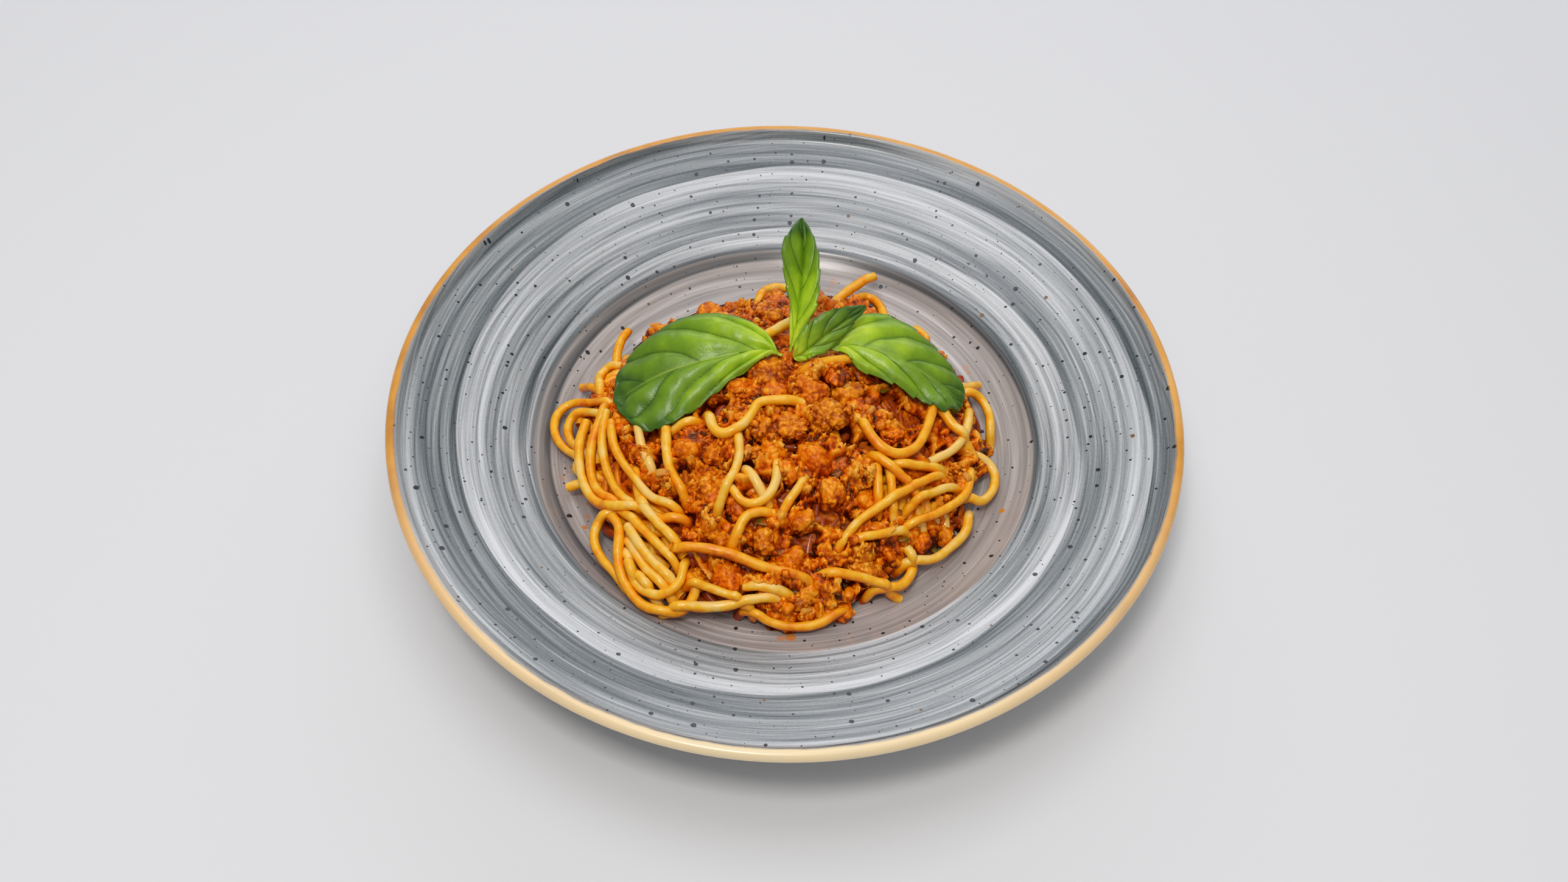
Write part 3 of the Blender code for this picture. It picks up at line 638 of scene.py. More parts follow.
# %% Where the pasta lies bare
# Centre and half sizes in mm of each place, and how far the film of sauce sinks there.
BARE = np.array([
    (-54, -57, 17, 20, 5.0), (-70, -18, 8, 24, 4.0), (-44, -47, 9, 10, 3.5), (-60, -26, 6, 13, 1.0),
    (-76, 2, 9, 14, 6.0), (-33, -76, 14, 7, 4.0), (45, -32, 9, 8, 1.8), (40, -56, 6, 6, 3.5),
    (48, -52, 9, 5, 3.5), (72, -18, 5, 9, 3.5), (70, 17, 5, 8, 2.5), (-9, -40, 5, 5, 2.0),
    (33, -31, 5, 6, 2.2), (-62, 28, 7, 9, 3.0),
], float)


def sunk(x, y):
    """How far the film sinks where pasta lies bare: soft-edged ellipses, the deepest counts."""
    deepest = np.zeros(np.shape(x))
    for cx, cy, rx, ry, depth_mm in BARE:
        d = np.hypot((x - cx) / rx, (y - cy) / ry)
        deepest = np.maximum(deepest, depth_mm * smoothstep(1.15, 0.75, d))
    return deepest


print("pasta lies bare in %d places" % len(BARE))

# %% Strands that fell by themselves
FALLEN = 150
FALLEN_POINTS = 48
FALLEN_STEP = 2.4  # mm
rng = np.random.default_rng(7)
start_turn = rng.uniform(0, 2 * np.pi, FALLEN)
start_share = rng.uniform(0.45, 0.93, FALLEN)
depth = rng.choice((1.2, 4.2, 7.2), FALLEN, p=(0.45, 0.33, 0.22))
reach_there = around(HEAP_REACH, start_turn)
spot = HEAP_CENTRE + (start_share * reach_there)[:, None] * np.c_[np.cos(start_turn), np.sin(start_turn)]
heading = start_turn + np.pi / 2 * rng.choice((-1, 1), FALLEN) + rng.normal(0, 0.6, FALLEN)
bend = rng.normal(0, 0.035, FALLEN)
trail = []
for _ in range(FALLEN_POINTS):
    trail.append(spot.copy())
    share = share_of(HEAP_REACH, spot[:, 0], spot[:, 1])
    inward = np.arctan2(HEAP_CENTRE[1] - spot[:, 1], HEAP_CENTRE[0] - spot[:, 0])
    off = (inward - heading + np.pi) % (2 * np.pi) - np.pi
    pull = smoothstep(0.72, 0.97, share) * 0.34 - smoothstep(0.55, 0.35, share) * 0.16
    bend = bend * 0.94 + rng.normal(0, 0.014, FALLEN)
    heading = heading + bend + np.sign(off) * np.minimum(np.abs(off), 1) * pull
    spot = spot + FALLEN_STEP * np.c_[np.cos(heading), np.sin(heading)]
trail = np.stack(trail, 1)
fallen_z = bed(trail[..., 0], trail[..., 1]) + STRAND - depth[:, None]
fallen = list(np.dstack([trail, fallen_z]))
print("%d strands fell round the mound" % FALLEN)

# %% Push the strands apart
PUSH_ROUNDS = 60
strands = hand + fallen
sizes = np.array([len(s) for s in strands])
owner = np.repeat(np.arange(len(strands)), sizes)
place_in = np.concatenate([np.arange(n) for n in sizes])
points = np.vstack(strands)
home = points.copy()
by_hand = owner < len(hand)
yielding = np.where(by_hand[:, None], (0.06, 0.06, 0.5), (1.0, 1.0, 1.0))
inner = (place_in > 0) & (place_in < sizes[owner] - 1)
inner_at = np.flatnonzero(inner)


def close_pairs(points, limit):
    """All pairs of points nearer than the limit: sorted along X, each is compared with those ahead."""
    order = np.argsort(points[:, 0])
    x = points[order, 0]
    last = np.searchsorted(x, x + limit)
    count = last - np.arange(len(x)) - 1
    a = np.repeat(np.arange(len(x)), count)
    b = a + 1 + np.arange(len(a)) - np.repeat(np.cumsum(count) - count, count)
    a, b = order[a], order[b]
    near = np.linalg.norm(points[a] - points[b], axis=1) < limit
    return a[near], b[near]


under_sauce = 0.2 - 3.3 * smoothstep(1.6, 0.2, sunk(points[:, 0], points[:, 1]))
for turn_number in range(PUSH_ROUNDS):
    if turn_number % 6 == 0:
        a, b = close_pairs(points, 2 * STRAND + 2.5)
        apart = (owner[a] != owner[b]) | (np.abs(place_in[a] - place_in[b]) > 4)
        a, b = a[apart], b[apart]
    gap = points[b] - points[a]
    away = np.linalg.norm(gap, axis=1)
    short = np.clip(2 * STRAND - 0.15 - away, 0, None)
    hit = short > 0
    way = gap[hit] / np.maximum(away[hit], 0.05)[:, None] * (0.7, 0.7, 1.5)
    way /= np.linalg.norm(way, axis=1)[:, None]
    push = way * short[hit][:, None] * 0.45
    shift = np.zeros_like(points)
    np.add.at(shift, b[hit], push)
    np.add.at(shift, a[hit], -push)
    crowd = np.maximum(1, np.bincount(np.r_[a[hit], b[hit]], minlength=len(points)) / 2)
    points += shift / crowd[:, None] * yielding
    middle = (points[inner_at - 1] + points[inner_at + 1]) / 2
    ease = np.where(by_hand[inner_at], 0.05, 0.3)[:, None]
    points[inner_at] += (middle - points[inner_at]) * ease
    points += (home - points) * np.where(by_hand[:, None], 0.08, (0.0, 0.0, 0.03))
    ceiling = bed(points[:, 0], points[:, 1]) - STRAND + under_sauce
    points[:, 2] = np.where(by_hand, points[:, 2], np.minimum(points[:, 2], ceiling))
    floor = plate_top(np.hypot(points[:, 0], points[:, 1])) + STRAND + 0.1
    points[:, 2] = np.maximum(points[:, 2], floor)
print("after %d rounds %d of %d near pairs still touch" % (PUSH_ROUNDS, np.sum(short > 0.4), len(short)))
ends_at = np.cumsum(sizes)[:-1]
settled = np.split(points, ends_at)
hand_settled, fallen_settled = settled[:len(hand)], settled[len(hand):]
shown = np.vstack(hand_settled)
shown = shown[shown[:, 2] > bed(shown[:, 0], shown[:, 1]) - 0.5]


def dive(line):
    """A strand whose ends sink 2 mm into the sauce, over their last 5 mm, where sauce lies."""
    run = np.r_[0, np.cumsum(np.linalg.norm(np.diff(line, axis=0), axis=1))]
    from_end = np.minimum(run, run[-1] - run)
    in_sauce = smoothstep(0.9, 0.2, sunk(line[:, 0], line[:, 1]))
    return line - np.outer(2.0 * smoothstep(5.0, 0.5, from_end) * in_sauce, (0, 0, 1))


hand_settled = [dive(line) for line in hand_settled]

# %% [markdown]
# ## From lines to strands
# A strand is a tube: a circle carried along its line. The circle must not twist on the way, so at
# every point its first direction is chosen level, square to the line. The cut ends are closed with a
# slightly dished cap, as a soft strand has.


# %% Tubes along the strands
def tube(line, step, sides, radius_mm, rng):
    """Circles square to a line, each radius_mm wide with a slight waver, and dished caps at both ends."""
    path = evenly(line, step)
    along = np.gradient(path, axis=0)
    along /= np.linalg.norm(along, axis=1)[:, None]
    level = np.cross(along, (0, 0, 1.0))
    level /= np.maximum(np.linalg.norm(level, axis=1), 1e-6)[:, None]
    upward = np.cross(level, along)
    turns = np.linspace(0, 2 * np.pi, sides, endpoint=False)
    ring = np.cos(turns)[None, :, None] * level[:, None] + np.sin(turns)[None, :, None] * upward[:, None]
    share = np.linspace(0, 1, len(path))
    phase = rng.uniform(0, 6.28, 2)
    waver = 1 + 0.05 * np.sin(share * len(path) * step / 6 + phase[0])
    waver = waver + 0.03 * np.sin(share * 40 + phase[1])
    waver[0] = waver[-1] = 0.9
    shell = path[:, None] + ring * (waver * radius_mm)[:, None, None]
    tips = np.array([path[0] + along[0] * 0.35, path[-1] - along[-1] * 0.35])
    verts = np.vstack([shell.reshape(-1, 3), tips])
    quads = grid_faces(len(path), sides, closed=True)
    n, k = len(path) * sides, np.arange(sides)
    start = np.c_[np.full(sides, n), k, (k + 1) % sides]
    finish = np.c_[np.full(sides, n + 1), n - sides + (k + 1) % sides, n - sides + k]
    upness = np.r_[np.broadcast_to(ring[..., 2], (len(path), sides)).ravel(), 0, 0]
    return verts, quads, np.vstack([start, finish]), upness


def tubes(lines, step, sides, seed, pale=()):
    """Many tubes as one mesh, with each corner's upness and its strand's own number, lower if pale."""
    rng = np.random.default_rng(seed)
    verts, faces, upness, number, base = [], [], [], [], 0
    for k, line in enumerate(lines):
        v, quads, caps, up = tube(line, step, sides, STRAND * rng.uniform(0.88, 1.02), rng)
        # Painted shade: corners that lie deep under the mound get a lower upness, so they come out deeper
        # orange.
        buried = smoothstep(0.5, -3.5, v[:, 2] - bed(v[:, 0], v[:, 1]))
        up = up - 2.4 * buried
        verts.append(v)
        for part in (quads, caps):
            faces += (part[:, ::-1] + base).tolist()
        upness.append(up)
        number.append(np.full(len(v), rng.uniform() - (0.9 if k in pale else 0)))
        base += len(v)
    return np.vstack(verts), faces, {"upness": np.concatenate(upness), "strand": np.concatenate(number)}


print("a strand is %.1f mm thick" % (2 * STRAND))

# %% [markdown]
# ## Cooked pasta
# Durum pasta is a translucent cream yellow. Here a film of tomato and oil lies on it: thin on top, where
# it drains off, and deep orange down the sides and where strands touch. The colour also holds painted
# light and shade: lighter on top, deeper orange down the sides and deep in the heap. How thick the film
# lies, with that light and shade, is a weighted sum of what each corner knows of itself and of two
# noises, and one ramp turns it to colour.

# %% Cooked durum pasta
PALE_STRANDS = ("top_two", "top_three", "top_five", "right_seven", "left_six")  # hardly any film on these
pasta, tree, shader = surface("cooked_durum_pasta", Roughness=0.36, IOR=1.42, Specular_IOR_Level=0.2,
                              Subsurface_Weight=0.15, Subsurface_Radius=(1.0, 0.45, 0.08),
                              Subsurface_Scale=0.0015, Coat_Weight=0.5, Coat_Roughness=0.14)
place = add(tree, "TexCoord").outputs["Object"]
upness, number = (add(tree, "Attribute", attribute_name=key).outputs["Fac"] for key in ("upness", "strand"))
patch = add(tree, "TexNoise", {"Vector": place, "Scale": 1 / 0.013, "Detail": 3.0,
                               "Roughness": 0.6}).outputs["Fac"]
fine = add(tree, "TexNoise", {"Vector": place, "Scale": 1 / 0.0022, "Detail": 3.0}).outputs["Fac"]
# Painted light and shade: upness lightens the tops and darkens the sides and the corners deep in the heap.
film = -0.61
for part, weight in ((upness, -0.32), (patch, 1.4), (fine, 0.50), (number, 0.30)):
    film = add(tree, "Math", {0: part, 1: weight, 2: film}, operation="MULTIPLY_ADD").outputs[0]
colour = add(tree, "ValToRGB", {0: film}, stops=[(0.0, "#fcd070"), (0.17, "#ffc02c"), (0.42, "#fba004"),
                                                 (0.68, "#e47000"), (1.0, "#a03800")]).outputs[0]
tree.links.new(colour, shader.inputs["Base Color"])
relief = add(tree, "Bump", {"Height": fine, "Strength": 0.25, "Distance": 0.0003}).outputs[0]
tree.links.new(relief, shader.inputs["Normal"])

pale = [k for k, name in enumerate(HAND_STRANDS) if name in PALE_STRANDS]
verts, faces, marks = tubes(hand_settled, 1.2, 12, 3, pale)
outer = piece("spaghetti_outer_strands", verts, faces, pasta, ["spaghetti_heap"], marks)
verts, faces, marks = tubes(fallen_settled, 2.2, 8, 4)
inner_strands = piece("spaghetti_fallen_strands", verts, faces, pasta, (), marks)

# %% [markdown]
# ## A disc without a pole
# The core and the sauce are discs with an uneven outline, seen from above. A grid of rings would crowd
# its corners in the middle, so a square grid is pressed into the disc instead: each square shell of the
# grid becomes one ring, and every face keeps about the same area.


# %% Discs and layers
def disc_grid(n):
    """A square grid pressed into the unit disc: r = the larger side, angle = pi/4 * smaller/larger."""
    a, b = np.meshgrid(np.linspace(-1, 1, n), np.linspace(-1, 1, n), indexing="ij")
    big = np.where(np.abs(a) > np.abs(b), a, b)
    safe = np.where(big == 0, 1, big)
    turn = np.where(np.abs(a) > np.abs(b), np.pi / 4 * b / safe, np.pi / 2 - np.pi / 4 * a / safe)
    return big * np.cos(turn), big * np.sin(turn)


def layer(n, table, top, bottom, rings=(0.97, 0.8, 0.5)):
    """A closed body under a function of (x, y): a disc grid on top, rings from its border below."""
    dx, dy = disc_grid(n)
    edge = around(table, np.arctan2(dy, dx))
    x, y = HEAP_CENTRE[0] + dx * edge, HEAP_CENTRE[1] + dy * edge
    upper = top(x, y).reshape(-1, 3)
    index = np.arange(n * n).reshape(n, n)
    border = np.r_[index[0, :-1], index[:-1, -1], index[-1, :0:-1], index[:0:-1, 0]]
    steps = len(border)
    flat = np.stack([x.ravel()[border], y.ravel()[border]], -1)
    lower = []
    for share in rings:
        ring = HEAP_CENTRE + (flat - HEAP_CENTRE) * share
        lower.append(np.c_[ring, bottom(ring[:, 0], ring[:, 1])])
    middle = [[*HEAP_CENTRE, float(bottom(*HEAP_CENTRE))]]
    verts = np.vstack([upper, *lower, middle])
    faces = grid_faces(n, n).tolist()
    outer = border
    for r in range(len(rings)):
        inner = n * n + r * steps + np.arange(steps)
        faces += np.stack([outer, inner, np.roll(inner, -1), np.roll(outer, -1)], -1).tolist()
        outer = inner
    hub = np.full(steps, len(verts) - 1)
    faces += np.stack([outer, hub, np.roll(outer, -1)], -1).tolist()
    return verts, outward(verts, faces)


def outward(verts, faces):
    """Turns all faces over if the body's volume, summed over its faces, comes out negative."""
    first = verts[[f[0] for f in faces]]
    second = verts[[f[1] for f in faces]]
    third = verts[[f[2] for f in faces]]
    volume = np.sum(first * np.cross(second, third))
    return faces if volume > 0 else [f[::-1] for f in faces]


print("a disc grid's corner lands at radius %.2f" % np.hypot(*disc_grid(9))[0, 0])

# %% The core of the heap
CORE_DEPTH = 9.0


def core_top(x, y):
    """The bed sunk by the depth of the strands, with a slow roll."""
    low = plate_top(np.hypot(x, y)) + 1.4
    height = np.maximum(bed(x, y) - CORE_DEPTH + 1.2 * soft_noise(in_plan(x, y), 6.0, 5), low)
    return np.dstack([x, y, height])


core_outline = tuple(0.9 * r for r in HEAP_REACH)
verts, faces = layer(90, core_outline, core_top, lambda x, y: plate_top(np.hypot(x, y)) + 0.5)
# Painted shade: the core is given the lowest upness and a high number, so it comes out deep orange-brown.
piece("spaghetti_core", verts, faces, pasta, (),
      {"upness": np.full(len(verts), -1.0), "strand": np.full(len(verts), 0.9)})

# %% [markdown]
# ## The meat sauce
# Minced meat cooks into crumbs of two to three millimetres that hang together in clumps, and the tomato
# sauce fills the gaps between them with a glossy skin. The sauce is one layer: a film over the strands,
# raised where clumps lie, with domes for the crumbs. Where strands show, the film sinks beside them.

# %% Where the sauce lies
SAUCE_REACH = (72, 72, 71, 71, 70, 67, 66, 66, 67, 66, 64, 64, 62, 58, 70, 79, 75, 72, 73, 72)
# Clumps of meat: place in mm, radius and height above the film.
CLUMPS = np.array([
    (-6, 8, 11, 3), (6, 10, 10, 2.5), (16, 8, 9, 2), (-16, 2, 9, 3), (-4, -1, 8, 2), (8, 0, 9, 3),
    (20, 2, 8, 3), (30, 4, 8, 1), (-23, -6, 9, 3.5), (-8, -14, 8, 2.2), (2, -14, 10, 3),
    (14, -10, 9, 3.5), (23, -5, 7, 3), (38, -3, 9, 1.5), (36, -12, 7, 1.5), (10, -23, 11, 5),
    (24, -25, 9, 4.5), (-5, -24, 9, 4), (-31, -22, 9, 5), (-23, -24, 7, 3), (-26, -33, 9, 3),
    (-21, -38, 7, 2.5), (2, -30, 6, 3), (15, -36, 10, 4.5), (27, -35, 8, 4), (-24, -45, 8, 4),
    (-30, -50, 7, 2), (-20, -51, 8, 3), (-6, -53, 8, 3), (6, -46, 8, 4), (15, -48, 8, 3.5),
    (4, -57, 8, 3), (14, -56, 8, 4), (25, -55, 9, 3), (32, -56, 6, 2), (-28, -63, 8, 4),
    (-17, -64, 8, 2.5), (-4, -66, 8, 2.5), (8, -67, 8, 3), (18, -66, 7, 3), (3, -73, 6, 2.5),
    (13, -72, 6, 3), (36, -49, 8, 3), (46, -45, 7, 3), (56, -39, 6, 3), (64, -32, 5, 2.5),
    (50, -14, 6, 1), (58, -20, 8, 3), (66, -12, 7, 3.5), (67, 0, 7, 3.5), (60, -2, 6, 1.5),
    (65, 10, 6, 2.5), (56, -28, 5, 2), (-64, 9, 7, 3), (-57, -1, 6, 1), (-52, -13, 5, 2),
    (-45, -19, 6, 2), (-44, -29, 5, 1.5), (-39, -35, 5, 2), (-30, 50, 9, 2.5), (-45, 40, 8, 2.5),
    (-22, 40, 9, 3), (-8, 50, 9, 3), (-6, 60, 8, 2.5), (-5, 38, 8, 2.5), (10, 50, 9, 2),
    (20, 57, 9, 3), (29, 55, 7, 2), (-16, 54, 8, 2.5), (41, 45, 8, 2.5), (51, 32, 8, 2.5),
    (60, 20, 7, 2.5), (-55, 25, 7, 2), (30, 25, 9, 2.5), (40, 15, 8, 2), (-30, 15, 9, 2),
    (-42, 5, 8, 1.5), (-20, 25, 9, 2), (10, 30, 9, 2),
], float)
# Deep gaps between the clumps, also darkened with painted shade: place in mm, radius and depth.
GAPS = np.array([
    (-25, -6, 4.5, 5), (30, 1, 5, 4), (39, -2, 5, 4), (15, -41.5, 5, 5), (-5, -35, 3.5, 4),
    (48, -12, 4, 4), (37, -57, 4, 4), (-14, -29, 3.5, 3.5), (2, -21, 3, 3.5), (21, -15, 3.5, 4),
    (-33, -30, 3.5, 3.5), (-27, -57, 4, 4), (-11, -58, 3.5, 4), (9, -51, 3.5, 3.5), (22, -45, 3.5, 4),
    (30, -16, 4, 3.5), (0, -3, 3, 3), (-14, 4, 3, 3), (13, 3, 3, 3), (57, -12, 4, 4),
    (48, -31, 4, 3.5), (-46, -12, 4, 3), (-40, -25, 3.5, 3.5), (36, 3, 5, 6), (43, -1, 4.5, 5),
    (2, -38, 4, 4), (8, -52, 4, 4), (21, -61, 3.5, 3.5), (-32, -46, 3, 3), (-9, -69, 3.5, 3),
], float)
# Sauce that lies over strands: place in mm and radius.
SMEARS = np.array([
    (7.5, -8.5, 5), (1, -32, 4.5), (-1.7, -46.5, 3.5), (-13.5, -53.5, 4), (0, -63, 6), (6, -68, 8),
    (14, -68, 8), (20, -64, 6), (34, -60, 4.5), (-40, -33, 6), (-46, -22.5, 4), (-55, -45.5, 3),
    (-36, -47, 5), (-35, -54, 4), (52, -38, 4), (39, -45.5, 7), (44, -48, 5), (41, -30.5, 3),
    (62, -11, 4), (66.5, -3, 4), (64, -22, 5), (29, -29, 4), (-29, -29, 4), (-20, -12, 3.5),
    (12, 8, 5), (26, 60, 4), (-61, -21, 3), (59, -40, 4), (-9, -65, 5), (28, -66, 5), (-30, -61, 5),
    (-14, -33, 3.5), (17, -20, 4), (49, -30, 4),
], float)
print("%d clumps, %d gaps, %d smears" % (len(CLUMPS), len(GAPS), len(SMEARS)))


# %% Smears, gaps and clumps as heights
def smeared(x, y):
    """1 where sauce lies over the strands, 0 elsewhere: soft discs with a ragged edge."""
    ragged = 0.35 * soft_noise(in_plan(x, y), 3.0, 98)
    most = np.zeros(np.shape(x))
    for cx, cy, r in SMEARS:
        most = np.maximum(most, smoothstep(1.05, 0.6, np.hypot(x - cx, y - cy) / r + ragged))
    return most


def gapped(x, y):
    """How deep the gaps go: depth * smoothstep of the distance from a gap's middle; the deepest counts."""
    deepest = np.zeros(np.shape(x))
    for cx, cy, r, depth_mm in GAPS:
        deepest = np.maximum(deepest, depth_mm * smoothstep(1.25, 0.4, np.hypot(x - cx, y - cy) / r))
    return deepest


def clumped(x, y):
    """How high the clumps stand: the highest of the domes h * sqrt(1 - (d/r)^2)."""
    best = np.zeros(np.shape(x))
    for cx, cy, r, h in CLUMPS:
        d2 = ((x - cx) ** 2 + (y - cy) ** 2) / r**2
        best = np.maximum(best, h * np.sqrt(np.clip(1 - d2, 0, 1)))
    return best


print("the highest clump stands %.1f mm above the film" % CLUMPS[:, 3].max())

# %% Room beside the strands, and the sauce's form
NO_LIMIT, FAR_AWAY = 99.0, 9.0  # mm, where no strand is near
BOULDER_CELL, LUMP_CELL = 9.5, 5.2  # mm from one big lump of meat to the next, and for the smaller lumps
CRUMB_CELL, GRAIN_CELL = 2.6, 1.3  # mm from crumb to crumb, and from grain to grain
FORM_STEP, CRUMB_STEP = 0.5, 0.7  # mm over which a slope is read, for the form and for its crumbs


def strand_room(x, y):
    """How high sauce may stand beside shown strands, and how near they are in plan, in mm.
    The limit is a strand's centre + 1 mm, rising 1.6 per mm beyond it, uneven, and raised under smears."""
    flat = np.stack([x.ravel(), y.ravel()], -1)
    limit = np.full(len(flat), NO_LIMIT)
    nearest = np.full(len(flat), FAR_AWAY)
    order = np.argsort(shown[:, 0])
    near = shown[order]
    for chunk in np.array_split(np.arange(len(flat)), max(1, len(flat) // 1500)):
        low, high = flat[chunk, 0].min() - 5, flat[chunk, 0].max() + 5
        some = near[np.searchsorted(near[:, 0], low):np.searchsorted(near[:, 0], high)]
        if len(some):
            d = np.linalg.norm(flat[chunk][:, None] - some[None, :, :2], axis=-1)
            over = some[None, :, 2] + 1.0 + np.clip(d - STRAND, 0, None) * 1.6
            limit[chunk] = over.min(axis=1)
            nearest[chunk] = d.min(axis=1)
    uneven = soft_noise(in_plan(x, y), 4.0, 97)
    return limit.reshape(x.shape) + 1.0 * uneven + 3.6 * smeared(x, y), nearest.reshape(x.shape)


def sauce_form(x, y):
    """The bed moved out square to its slope by film + clumps + boulders - sinking, below shown strands."""
    z = bed(x, y)
    slope_x = (bed(x + FORM_STEP, y) - bed(x - FORM_STEP, y)) / (2 * FORM_STEP)
    slope_y = (bed(x, y + FORM_STEP) - bed(x, y - FORM_STEP)) / (2 * FORM_STEP)
    normal = np.stack([-slope_x, -slope_y, np.ones_like(slope_x)], -1)
    normal /= np.linalg.norm(normal, axis=-1, keepdims=True)
    base = np.stack([x, y, z], -1)
    edge = share_of(SAUCE_REACH, x, y)
    ragged = 0.10 * soft_noise(base, 9.0, 11) + 0.05 * soft_noise(base, 4.0, 12)
    thin = smoothstep(1.02, 0.86, edge + ragged)
    mound = clumped(x, y) * (1 + 0.3 * soft_noise(base, 7.0, 13))
    shaken = base + 2.0 * shake(base, 4.0, 16)
    film = 0.4 + 1.1 * soft_noise(base, 8.0, 14) + 0.5 * mound - sunk(x, y)
    film = film - 2.0 * gapped(shaken[..., 0], shaken[..., 1]) + 3.0 * smeared(x, y)
    strand_away = strand_room(x, y)[1]
    film = film + 1.2 * smoothstep(5.0, 2.0, strand_away) * smoothstep(1.5, 0.3, sunk(x, y))
    warp = shake(base, 2.4, 20)
    e1, e2, lot = crumb_cells(base + 2.2 * warp, BOULDER_CELL, 36)
    h1, h2, _ = crumb_cells(base + 1.3 * warp, LUMP_CELL, 44)
    meaty = smoothstep(0.2, 1.6, mound) * smoothstep(-0.7, -0.1, soft_noise(base, 6.0, 15))
    boulder = crumb_dome(e1, e2, 0.5, 0.45)
    lump = crumb_dome(h1, h2, 0.4, 0.45)
    rise = film + (0.4 + 0.6 * meaty) * ((2.8 + 2.4 * lot) * boulder + 1.8 * lump - 3.4)
    top = base + normal * (-2.5 + (2.5 + rise) * thin)[..., None]
    top[..., 2] = np.minimum(top[..., 2], strand_room(top[..., 0], top[..., 1])[0])
    floor = plate_top(np.hypot(top[..., 0], top[..., 1])) + 0.5
    top[..., 2] = np.maximum(top[..., 2], floor)
    pit = np.maximum(1 - smoothstep(0, 0.25, e2 - e1), 0.35 * gapped(shaken[..., 0], shaken[..., 1]))
    return top, {"boulder": boulder, "lump": lump, "pit": pit, "meaty": meaty, "lot": lot, "thin": thin}


origin = np.zeros((1, 1))
print("the sauce's top is %.1f mm above the table" % sauce_form(origin, origin)[0][0, 0, 2])


# %% Crumbs on the form
def crumbs_at(points, seed):
    """Crumbs of two sizes read at places in space, so they stay round on steep sides: domes and grains.
    Each crumb's height is its own, and noise leaves some stretches smooth."""
    warp = shake(points, 2.0, seed) + 0.5 * shake(points, 0.9, seed + 5)
    f1, f2, tall = crumb_cells(points + 1.0 * warp, CRUMB_CELL, seed + 10)
    g1, g2, high = crumb_cells(points + 0.6 * warp, GRAIN_CELL, seed + 20)
    rough = smoothstep(-0.5, 0.3, soft_noise(points, 5.0, seed + 30))
    dome = crumb_dome(f1, f2, 0.5) * (0.65 + 0.5 * tall)
    return dome, crumb_dome(g1, g2, 0.4) * (0.4 + 1.0 * high) * (0.3 + 0.7 * rough)


def sauce_surface(x, y):
    """The sauce's form with its crumbs pushed out square to it; its slope is read over a short step."""
    top, form = sauce_form(x, y)
    right = sauce_form(x + CRUMB_STEP, y)[0] - top
    ahead = sauce_form(x, y + CRUMB_STEP)[0] - top
    normal = np.cross(right, ahead)
    normal /= np.maximum(np.linalg.norm(normal, axis=-1, keepdims=True), 1e-6)
    dome, grain = crumbs_at(top, 40)
    bumps = form["thin"] * (0.35 + 0.65 * form["meaty"]) * (1.4 * dome + 0.6 * grain - 1.1)
    out = top + normal * bumps[..., None]
    floor = plate_top(np.hypot(out[..., 0], out[..., 1])) + 0.5
    out[..., 2] = np.maximum(out[..., 2], floor)
    return out, normal, {"dome": dome, "grain": grain, **form}


print("crumbs every %.1f mm on lumps every %.1f mm" % (CRUMB_CELL, BOULDER_CELL))

# %% [markdown]
# ## The look of the sauce
# Tomato sauce is a glossy, slightly clear red-brown, and browned mince lies in it like wet gravel: its
# crests are tan where the sauce has run off, its hollows deep red where the sauce stands. Painted shade
# darkens the hollows, pits and the sauce deep under the heap, and painted light lightens what faces up.
# Each corner of the mesh keeps how high it stands on its crumb, with that light and shade, and it picks
# the colour from a ramp. The warm specular tint stands for the oil, which gives golden glints where a
# clear coat would give a blue haze.

# %% Tomato and meat sauce
sauce, tree, shader = surface("tomato_and_mince_sauce", Roughness=0.12, IOR=1.45, Specular_IOR_Level=0.8,
                              Specular_Tint=(1.0, 0.7, 0.25, 1.0), Subsurface_Weight=0.12,
                              Subsurface_Radius=(1.0, 0.25, 0.05), Subsurface_Scale=0.0012)
place = add(tree, "TexCoord").outputs["Object"]
crest_and_shade, meat = (add(tree, "Attribute", attribute_name=key).outputs["Fac"] for key in ("crest_and_shade", "meat"))
patch, fine = (add(tree, "TexNoise", {"Vector": place, "Scale": 1 / size, "Detail": detail,
                                      "Roughness": 0.6}).outputs["Fac"]
               for size, detail in ((0.006, 3.0), (0.0011, 4.0)))
tone = -0.84
for part, weight in ((crest_and_shade, 1.2), (patch, 0.80), (fine, 0.60)):
    tone = add(tree, "Math", {0: part, 1: weight, 2: tone}, operation="MULTIPLY_ADD").outputs[0]
grit = add(tree, "TexVoronoi", {"Vector": place, "Scale": 1 / 0.0016}).outputs["Distance"]
tomato = add(tree, "ValToRGB", {0: tone}, stops=[(0.0, "#400a00"), (0.26, "#9e2c00"), (0.5, "#e26000"),
                                                 (0.75, "#f88800"), (1.0, "#ffa828")]).outputs[0]
brown = add(tree, "ValToRGB", {0: tone}, stops=[(0.0, "#400c00"), (0.26, "#9a3200"), (0.5, "#d66c04"),
                                                (0.75, "#f29208"), (1.0, "#ffb440")]).outputs[0]
colour = add(tree, "Mix", {"Factor": meat, 6: tomato, 7: brown}, data_type="RGBA").outputs[2]
tree.links.new(colour, shader.inputs["Base Color"])
height = add(tree, "Math", {0: grit, 1: -0.8, 2: fine}, operation="MULTIPLY_ADD").outputs[0]
relief = add(tree, "Bump", {"Height": height, "Strength": 0.7, "Distance": 0.0004}).outputs[0]
tree.links.new(relief, shader.inputs["Normal"])
print("%s: %d nodes" % (sauce.name, len(tree.nodes)))

# %% Lay the sauce over the heap
SAUCE_GRID = 300
DEEP_SHADE = 0.09  # how much darker sauce gets for each mm that it lies below the bed
marks = {}


def meat_share(form):
    """Browner where a clump is meat, redder where it is sauce: each clump has its own lot."""
    return np.clip(form["meaty"] * smoothstep(0.15, 0.75, form["lot"]) * (0.3 + form["boulder"]), 0, 1)


